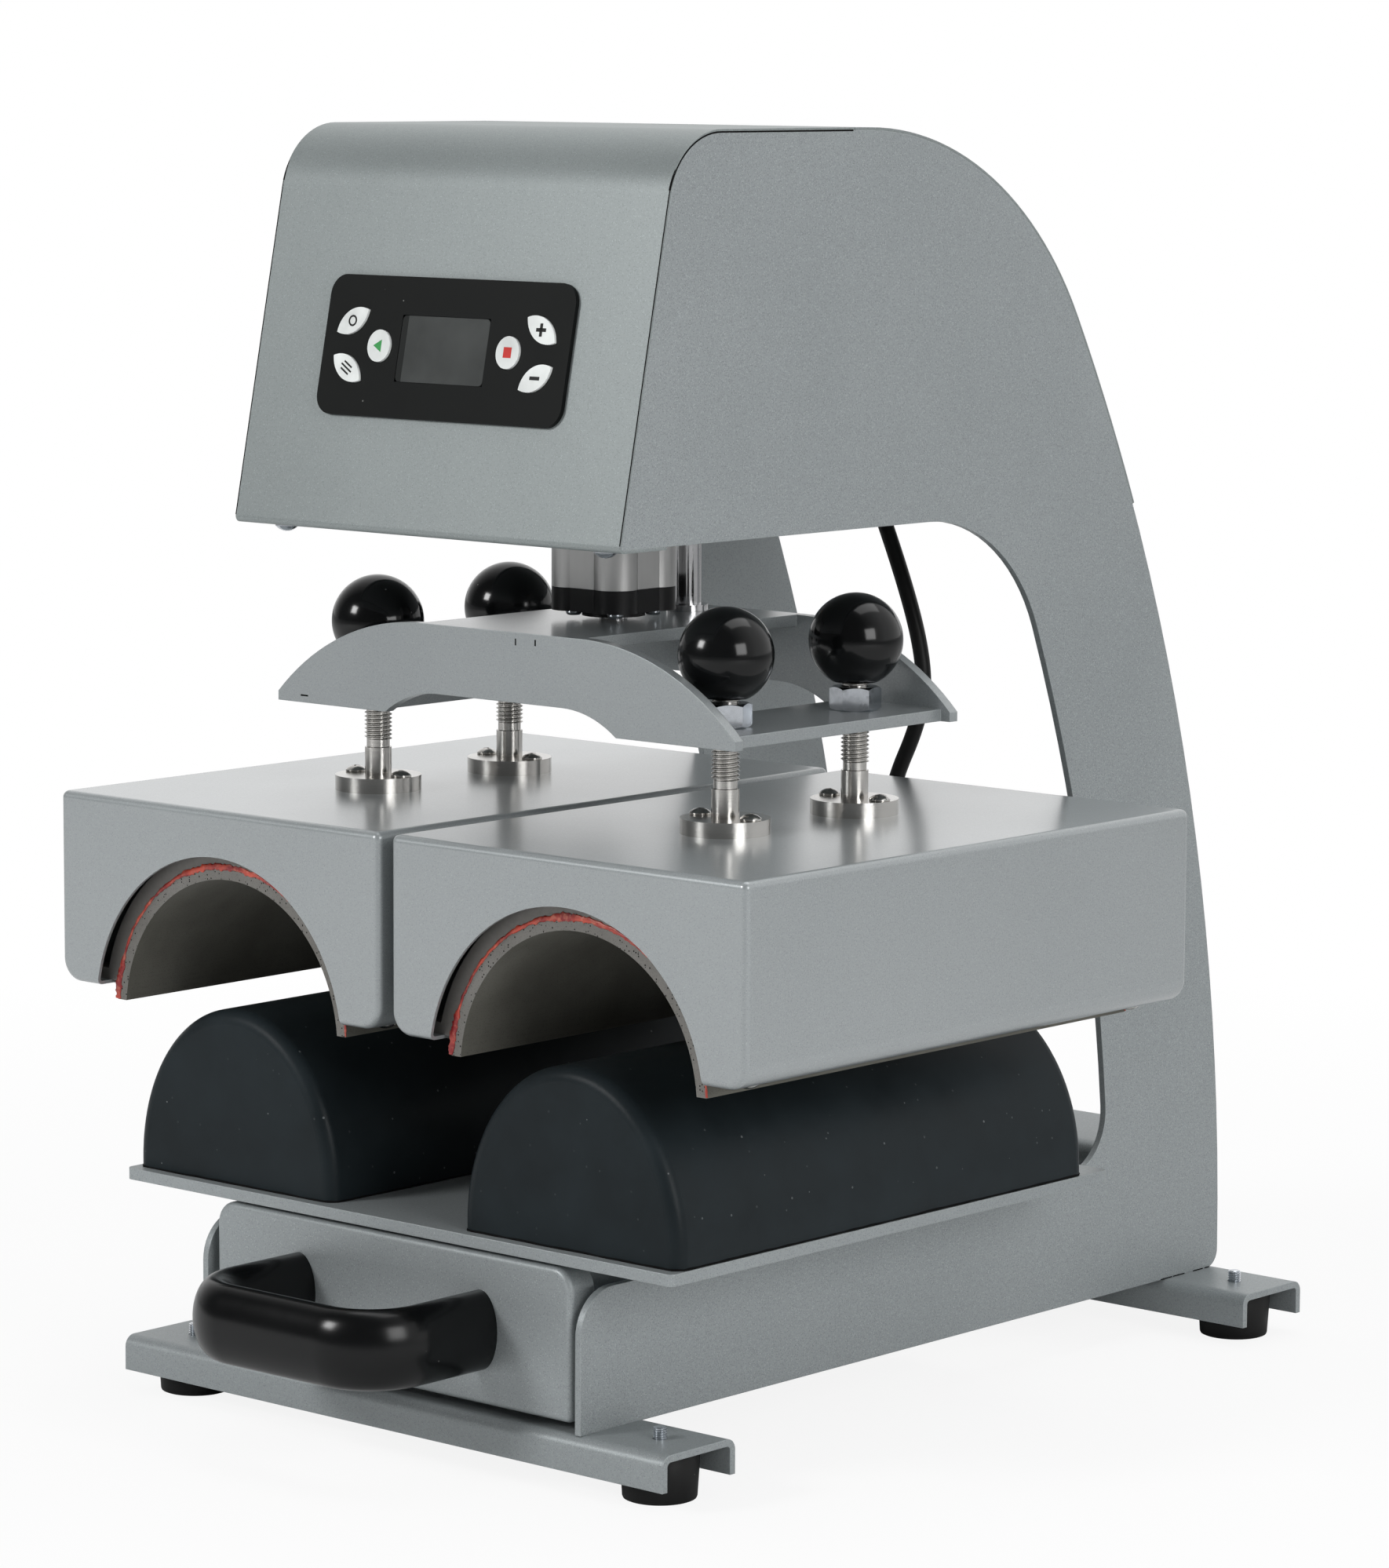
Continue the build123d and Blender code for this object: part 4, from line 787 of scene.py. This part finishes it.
def span(tree, value, low, high, from_low=0.3, from_high=0.7):
    """Map a noise value to a range."""
    return node(tree, "MapRange", {"Value": value, "From Min": from_low, "To Min": low,
                                   "From Max": from_high, "To Max": high}).outputs[0]


def group(name, inputs, outputs):
    """New shader node group with its sockets."""
    tree = bpy.data.node_groups.new(name, "ShaderNodeTree")
    for label, kind, value in inputs:
        made = tree.interface.new_socket(name=label, in_out="INPUT",
                                         socket_type="NodeSocket" + kind)
        if value is not None:
            made.default_value = value
    for label, kind in outputs:
        tree.interface.new_socket(name=label, in_out="OUTPUT",
                                  socket_type="NodeSocket" + kind)
    return tree, tree.nodes.new("NodeGroupInput").outputs, tree.nodes.new("NodeGroupOutput")


def use(tree, name, **inputs):
    """Place a node group in a material with its own values."""
    made = tree.nodes.new("ShaderNodeGroup")
    made.node_tree = bpy.data.node_groups[name]
    feed(tree, made, inputs)
    return made.outputs


# %% Grain group
tree, given, out = group("grain", [("Vector", "Vector", None), ("Scale", "Float", 900.0),
                                   ("Spread", "Float", 60.0)],
                         [("Fine", "Float"), ("Cloud", "Float")])
fine = node(tree, "TexNoise", {"Vector": given["Vector"], "Scale": given["Scale"],
                               "Detail": 3.0, "Roughness": 0.6})
cloud = node(tree, "TexNoise", {"Vector": given["Vector"], "Scale": given["Spread"],
                                "Detail": 4.0, "Roughness": 0.55})
feed(tree, out, {"Fine": fine.outputs["Fac"], "Cloud": cloud.outputs["Fac"]})
print("group", tree.name)

# %% Specks group
tree, given, out = group("specks", [("Vector", "Vector", None), ("Scale", "Float", 1500.0),
                                    ("Size", "Float", 0.2), ("Share", "Float", 0.3)],
                         [("Mask", "Float"), ("Tone", "Float")])
cells = node(tree, "TexVoronoi", {"Vector": given["Vector"], "Scale": given["Scale"]})
dot = calc(tree, "LESS_THAN", cells.outputs["Distance"], given["Size"])
tone = node(tree, "SeparateColor", {"Color": cells.outputs["Color"]})
kept = calc(tree, "LESS_THAN", tone.outputs["Red"], given["Share"])
feed(tree, out, {"Mask": calc(tree, "MULTIPLY", dot, kept), "Tone": tone.outputs["Green"]})
print("group", tree.name)

# %% Edge group: a rounded normal, and a mask for a painted highlight
tree, given, out = group("edge_highlight",
                         [("Width", "Float", 0.0006), ("Vector", "Vector", None)],
                         [("Mask", "Float"), ("Normal", "Vector")])
rounded = node(tree, "Bevel", {"Radius": given["Width"]}, samples=6)
facing = node(tree, "NewGeometry")
same = node(tree, "VectorMath", {0: rounded.outputs["Normal"], 1: facing.outputs["Normal"]},
            operation="DOT_PRODUCT")
edge = span(tree, same.outputs["Value"], 0.0, 1.0, 0.999, 0.90)
patchy = node(tree, "TexNoise", {"Vector": given["Vector"], "Scale": 220.0, "Detail": 3.0})
patches = span(tree, patchy.outputs["Fac"], 0.35, 1.0, 0.35, 0.65)
# the mask, made patchy, marks the edges where a lighter colour is painted on as a highlight
masked = calc(tree, "MULTIPLY", edge, patches)
feed(tree, out, {"Mask": masked, "Normal": rounded.outputs["Normal"]})
print("group", tree.name)

# %% [markdown]
# ## Materials
# One function starts every material with the same backbone, object coordinates and a
# Principled BSDF. What each gets then differs: powder coat has metal flakes, a cloudy
# tone and a highlight painted along its edges; turned steel has fine rings; rubber has
# dust. A bump from the grain ends each of them. Values that are the same all over a
# surface are set on the shader itself.

# %% Backbone of a material
finishes = {}


def emptied(owner):
    """Node tree of a new material or world, with nothing in it."""
    owner.use_nodes = True
    owner.node_tree.nodes.clear()
    return owner.node_tree


def start(name, rough=0.5, metal=0.0, coat=0.0, coat_rough=0.1, specular=0.5):
    """Material with object coordinates and a Principled shader."""
    finishes[name] = bpy.data.materials.new(name)
    tree = emptied(finishes[name])
    shader = node(tree, "BsdfPrincipled", {
        "Roughness": rough, "Metallic": metal, "Coat Weight": coat,
        "Coat Roughness": coat_rough, "Specular IOR Level": specular})
    node(tree, "OutputMaterial", {"Surface": shader.outputs["BSDF"]})
    return tree, shader, node(tree, "TexCoord").outputs["Object"]


def blend_colour(tree, mask, first, second):
    """Mix two colours or sockets by a mask."""
    made = node(tree, "Mix", {"Factor": mask}, data_type="RGBA")
    for index, value in ((6, first), (7, second)):      # its two colour inputs
        is_socket = isinstance(value, bpy.types.NodeSocket)
        feed(tree, made, {index: value if is_socket else (*value, 1)})
    return made.outputs[2]


def end(tree, shader, colour, height, distance, strength, normal=None, rough=None):
    """Link colour, roughness and a bump from a height in metres to the shader."""
    inputs = {"Height": height, "Distance": distance, "Strength": strength}
    if normal is not None:
        inputs["Normal"] = normal
    raised = node(tree, "Bump", inputs).outputs["Normal"]
    feed(tree, shader, {"Base Color": colour, "Normal": raised})
    if rough is not None:
        feed(tree, shader, {"Roughness": rough})


# %% Powder coats
def powder_coat(name, light, dark, rough, metal, flake=1.0, coat=0.0):
    """Metal-flake paint: cloudy grey, bright and dark flakes, and a highlight painted on
    its edges.
    """
    tree, shader, where = start(name, rough=rough, metal=metal, specular=0.5, coat=coat,
                                coat_rough=0.20)
    grain = use(tree, "grain", Vector=where, Scale=1150.0, Spread=9.0)
    flakes = use(tree, "specks", Vector=where, Scale=1900.0, Size=0.42, Share=0.20)
    pits = use(tree, "specks", Vector=where, Scale=1700.0, Size=0.38, Share=0.24)
    edge = use(tree, "edge_highlight", Vector=where, Width=0.0006)
    base = blend_colour(tree, span(tree, grain["Cloud"], 0, 1), dark, light)
    base = blend_colour(tree, span(tree, grain["Fine"], 0.0, 0.25 * flake), base,
                        [c * 1.5 for c in light])
    sparkle = calc(tree, "MULTIPLY", flakes["Mask"], flakes["Tone"])
    sparkle = calc(tree, "MULTIPLY", sparkle, flake)
    base = blend_colour(tree, sparkle, base, [min(1, c * 1.45) for c in light])
    shade = calc(tree, "MULTIPLY", pits["Mask"], 0.40 * flake)
    base = blend_colour(tree, shade, base, [c * 0.4 for c in dark])
    # painted highlight: the edges are lightened in colour as if they caught the light
    painted_highlight = calc(tree, "MULTIPLY", edge["Mask"], 0.38)
    base = blend_colour(tree, painted_highlight, base, [min(1, c * 2.0) for c in light])
    end(tree, shader, base, grain["Fine"], 0.00004, 0.45 * flake, edge["Normal"],
        span(tree, grain["Cloud"], rough - 0.03, rough + 0.04))


# glossier on platens and bridge, and a little darker and greener on the covers
powder_coat("silver_powder_coat", (0.300, 0.325, 0.332), (0.272, 0.297, 0.304), 0.42, 0.30)
powder_coat("platen_coat", (0.303, 0.327, 0.334), (0.288, 0.312, 0.320), 0.38, 0.32,
            flake=0.7, coat=0.95)
powder_coat("cover_coat", (0.236, 0.262, 0.262), (0.218, 0.243, 0.243), 0.42, 0.28,
            flake=0.85)


# %% Bare metals
def bare_metal(name, colour, rough, stretch, depth, spots=0.0, soft_edge=True):
    """Metal with fine drawn or turned lines: noise squeezed along one axis.

    Its edges are rounded in the shading, but not on small parts, where that is blotchy.
    """
    tree, shader, where = start(name, rough=rough, metal=1.0)
    squeezed = node(tree, "Mapping", {"Vector": where, "Scale": stretch}).outputs[0]
    lines = use(tree, "grain", Vector=squeezed, Scale=400.0, Spread=60.0)
    plain = use(tree, "grain", Vector=where, Scale=700.0, Spread=55.0)
    normal = None
    if soft_edge:
        normal = use(tree, "edge_highlight", Vector=where, Width=0.0003)["Normal"]
    base = blend_colour(tree, span(tree, plain["Cloud"], 0, 1),
                        [c * 0.92 for c in colour], colour)
    if spots:
        dull = use(tree, "specks", Vector=where, Scale=420.0, Size=0.5, Share=spots)
        soft = calc(tree, "MULTIPLY", dull["Mask"], 0.5)
        base = blend_colour(tree, soft, base, [c * 0.6 for c in colour])
    end(tree, shader, base, lines["Fine"], depth, 0.6, normal,
        span(tree, lines["Fine"], rough - 0.04, rough + 0.06))


bare_metal("aluminium", (0.50, 0.50, 0.495), 0.40, (1, 1, 0.05), 0.00001)
bare_metal("cast_shell", (0.30, 0.29, 0.275), 0.66, (1, 1, 1), 0.00004)
bare_metal("ground_steel", (0.66, 0.66, 0.67), 0.12, (0.1, 0.1, 3), 0.000002)
bare_metal("stainless_steel", (0.60, 0.585, 0.56), 0.20, (0.05, 0.05, 4), 0.0000015,
           soft_edge=False)
bare_metal("zinc_plated_steel", (0.62, 0.65, 0.69), 0.20, (1, 1, 1), 0.000001, spots=0.05,
           soft_edge=False)
bare_metal("bronze", (0.50, 0.35, 0.18), 0.35, (1, 1, 4), 0.00001)
bare_metal("nickel_brass", (0.62, 0.60, 0.55), 0.25, (1, 1, 6), 0.00001)


# %% Plastics, rubbers and inks
def moulded(name, colour, rough, specular=0.25, depth=0.00003, dust=0.1,
            dust_colour=(0.25, 0.25, 0.24), rough_spread=0.06, speck=260.0, dot=0.09):
    """Plastic, rubber or ink with a faint grain and scattered dust."""
    tree, shader, where = start(name, rough=rough, coat_rough=0.04, specular=specular)
    fine = use(tree, "grain", Vector=where, Scale=900.0, Spread=32.0)
    spots = use(tree, "specks", Vector=where, Scale=speck, Size=dot, Share=dust)
    base = blend_colour(tree, span(tree, fine["Cloud"], 0, 1), colour,
                        [c * 1.5 for c in colour])
    settled = calc(tree, "MULTIPLY", spots["Mask"], spots["Tone"])
    base = blend_colour(tree, settled, base, dust_colour)
    end(tree, shader, base, fine["Fine"], depth, 0.5,
        rough=span(tree, fine["Cloud"], rough - rough_spread, rough + rough_spread))


moulded("black_phenolic", (0.0025, 0.0028, 0.0030), 0.13, specular=0.30, depth=0.000003,
        dust=0.02, rough_spread=0.03)
moulded("former_rubber", (0.0104, 0.0146, 0.0168), 0.42, specular=0.12,
        dust_colour=(0.13, 0.14, 0.145), speck=290.0, dot=0.15)
moulded("black_grip", (0.0022, 0.0025, 0.0027), 0.22, specular=0.28, depth=0.000004,
        dust=0.02, rough_spread=0.03)
moulded("black_panel", (0.0045, 0.0052, 0.0050), 0.48, specular=0.10, depth=0.00002,
        dust=0.05)
moulded("grey_screen", (0.044, 0.047, 0.046), 0.36, specular=0.08, depth=0.000004,
        dust=0.02, dust_colour=(0.3, 0.3, 0.3))
moulded("white_key_plastic", (0.56, 0.58, 0.57), 0.42, depth=0.00002, dust=0.03,
        dust_colour=(0.35, 0.34, 0.32))
moulded("deep_shadow", (0.006, 0.006, 0.006), 0.80, specular=0.05, dust=0.0)
for name, colour, rough, dust in (
        ("foot_rubber", (0.0045, 0.0045, 0.0045), 0.55, 0.08),
        ("black_anodised", (0.006, 0.006, 0.0065), 0.42, 0.03),
        ("cable_rubber", (0.006, 0.006, 0.006), 0.45, 0.05),
        ("black_nylon", (0.008, 0.008, 0.008), 0.42, 0.04),
        ("board_green", (0.02, 0.10, 0.045), 0.40, 0.05),
        ("ink_black", (0.004, 0.004, 0.004), 0.45, 0.0),
        ("ink_green", (0.03, 0.24, 0.06), 0.45, 0.0),
        ("ink_red", (0.45, 0.02, 0.015), 0.45, 0.0)):
    moulded(name, colour, rough, dust=dust)
print("finishes so far", len(finishes))

# %% [markdown]
# ## Edge of the display
# The grey display doesn't fill its window, and a darker strip stays at its left. The
# strip could be a piece of its own, but both lie behind one smooth lens, so the lens
# material turns darker where the object's X is left of a line.

# %% Darker strip of the screen
strip_w = 0.0036
tree = finishes["grey_screen"].node_tree
shader = next(n for n in tree.nodes if n.type == "BSDF_PRINCIPLED")
display_grey = shader.inputs["Base Color"].links[0].from_socket
across = node(tree, "SeparateXYZ", {"Vector": node(tree, "TexCoord").outputs["Object"]})
strip_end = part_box("panel_screen")[0].x + strip_w
strip = calc(tree, "LESS_THAN", across.outputs["X"], strip_end)
darker = blend_colour(tree, strip, display_grey, (0.018, 0.0195, 0.019))
feed(tree, shader, {"Base Color": darker})
print("strip ends at", round(strip_end, 4))

# %% [markdown]
# ## Foam and silicone
# The liners are cut from a sheet of foam. Its smooth, yellowish skin lines the arch,
# and its cut ends are lighter, with pores of two sizes. One material does both: a
# face whose normal points along Y is a cut end. The sealant's red is mottled, because
# it is thin in places and pale where it is rough.

# %% Foam liner
tree, shader, where = start("liner_foam", rough=0.85, specular=0.2)
fine = use(tree, "grain", Vector=where, Scale=700.0, Spread=22.0)
big = use(tree, "specks", Vector=where, Scale=820.0, Size=0.30, Share=0.28)
small = use(tree, "specks", Vector=where, Scale=2400.0, Size=0.40, Share=0.30)
faces = node(tree, "NewGeometry")
facing = node(tree, "SeparateXYZ", {"Vector": faces.outputs["Normal"]})
along_y = calc(tree, "ABSOLUTE", facing.outputs["Y"])
on_end = calc(tree, "GREATER_THAN", along_y, 0.7)
edge_foam = blend_colour(tree, span(tree, fine["Cloud"], 0, 1),
                         (0.150, 0.145, 0.134), (0.205, 0.199, 0.186))
skin = blend_colour(tree, span(tree, fine["Cloud"], 0, 1),
                    (0.118, 0.115, 0.098), (0.172, 0.168, 0.146))
base = blend_colour(tree, on_end, skin, edge_foam)
# painted shade: the pores are holes, and their dark colour stands for the shade inside them
small_seen = calc(tree, "MULTIPLY", small["Mask"], 0.40)
base = blend_colour(tree, small_seen, base, (0.045, 0.043, 0.038))
big_seen = calc(tree, "MULTIPLY", big["Mask"], on_end)
base = blend_colour(tree, big_seen, base, (0.010, 0.009, 0.008))
pores = calc(tree, "MAXIMUM", big_seen, small_seen)
end(tree, shader, base, calc(tree, "SUBTRACT", 1.0, pores), 0.0002, 0.6)
print("liner_foam nodes", len(tree.nodes))

# %% Red silicone
tree, shader, where = start("red_silicone", rough=0.38, specular=0.5)
fine = use(tree, "grain", Vector=where, Scale=420.0, Spread=70.0)
base = blend_colour(tree, span(tree, fine["Cloud"], 0, 1, 0.42, 0.58),
                    (0.52, 0.070, 0.040), (0.22, 0.010, 0.012))
base = blend_colour(tree, span(tree, fine["Fine"], 0, 0.6, 0.5, 0.75), base,
                    (0.62, 0.22, 0.14))
end(tree, shader, base, fine["Fine"], 0.0002, 0.7)
print("red_silicone nodes", len(tree.nodes))

# %% Give every node and piece its finish
# a node takes the finish of its slot in the record, or one of its own
own_finish = {"left_housing": "platen_coat", "right_housing": "platen_coat",
              "left_heater_shell": "cast_shell", "right_heater_shell": "cast_shell",
              "front_cover": "cover_coat", "rear_cover": "cover_coat",
              "bridge": "platen_coat", "drawer_handle": "black_grip"}
for row in frame["record"]["subparts"]:
    solid = frame["nodes"][row["node"]]
    solid.data.materials.clear()
    solid.data.materials.append(finishes[own_finish.get(row["node"], row["material_slot"])])
for name, finish in finish_of.items():
    mesh = bpy.data.objects[name].data
    mesh.materials.clear()
    mesh.materials.append(finishes[finish])
print("materials", len(finishes))

# %% [markdown]
# ## Studio
# The object stands on a white sweep under soft light. The white is the colour of the
# floor and of the world for camera rays, so no extra light is needed for it, and the
# floor still shows part of the shadow. For mirror rays the room is white behind the
# object and dim in front, as in a studio, so that black gloss stays black. A softbox
# stands high at the camera's left, a wider and weaker one at its right, and the
# widest overhead draws the bright line along the bend of the head.

# %% World
def seen_directly(tree):
    """Light Path outputs, and a mask of what the camera sees straight or through glass."""
    rays = node(tree, "LightPath").outputs
    return rays, calc(tree, "MAXIMUM", rays["Is Camera Ray"], rays["Is Transmission Ray"])


world = bpy.data.worlds.new("studio")
scene.world = world
tree = emptied(world)
rays, seen = seen_directly(tree)
looked = node(tree, "SeparateXYZ", {"Vector": node(tree, "TexCoord").outputs["Generated"]})
behind = span(tree, looked.outputs["Y"], 0.10, 1.0, -0.35, 0.45)
shiny = node(tree, "Background", {"Color": (1, 1, 1, 1), "Strength": behind})
plain = node(tree, "Background", {"Color": (1, 1, 1, 1), "Strength": 1.0})
dim = node(tree, "Background", {"Color": (0.98, 0.99, 1, 1), "Strength": 0.33})
unseen = node(tree, "MixShader", {0: rays["Is Glossy Ray"], 1: dim.outputs[0],
                                  2: shiny.outputs[0]})
room = node(tree, "MixShader", {0: seen, 1: unseen.outputs[0], 2: plain.outputs[0]})
node(tree, "OutputWorld", {"Surface": room.outputs[0]})
print("world", world.name)

# %% Floor
bm = bmesh.new()
bmesh.ops.create_grid(bm, x_segments=1, y_segments=1, size=30)
floor_mesh = bpy.data.meshes.new("studio_floor")
bm.to_mesh(floor_mesh)
bm.free()
floor = put("studio_floor", floor_mesh)
sweep = bpy.data.materials.new("white_sweep")
tree = emptied(sweep)
rays, seen = seen_directly(tree)
matte = node(tree, "BsdfDiffuse", {"Color": (0.93, 0.93, 0.93, 1)})
lit = node(tree, "Emission", {"Color": (1, 1, 1, 1), "Strength": 1.0})
spot = node(tree, "TexCoord").outputs["Object"]
away = node(tree, "VectorMath", {0: spot}, operation="LENGTH").outputs["Value"]
share = calc(tree, "MULTIPLY", seen, span(tree, away, 0.88, 1.0, 0.45, 1.1))
shown = node(tree, "MixShader", {0: share, 1: matte.outputs[0], 2: lit.outputs[0]})
node(tree, "OutputMaterial", {"Surface": shown.outputs[0]})
floor_mesh.materials.append(sweep)
print("floor", floor.name)


# %% Softboxes
def softbox(name, place, aim, size, power):
    """Square area lamp that looks at a point."""
    lamp = bpy.data.lights.new(name, "AREA")
    lamp.shape = "SQUARE"
    lamp.size = size
    lamp.energy = power
    look = (Vector(aim) - Vector(place)).to_track_quat("-Z", "Y")
    put(name, lamp).matrix_world = Matrix.Translation(place) @ look.to_matrix().to_4x4()
    print(name, size, "m", power, "W")


softbox("key_box", (-1.1, -2.4, 1.5), (0, 0, 0.25), 0.7, 37)
softbox("fill_box", (2.7, -0.6, 1.2), (0, 0, 0.25), 1.2, 30)
softbox("top_box", (0.0, 0.5, 2.3), (0, 0, 0.3), 1.8, 19)

# %% [markdown]
# ## Last steps
# The view transform is set to Standard, so a colour renders about as it is written.

# %% View transform
scene.view_settings.view_transform = "Standard"
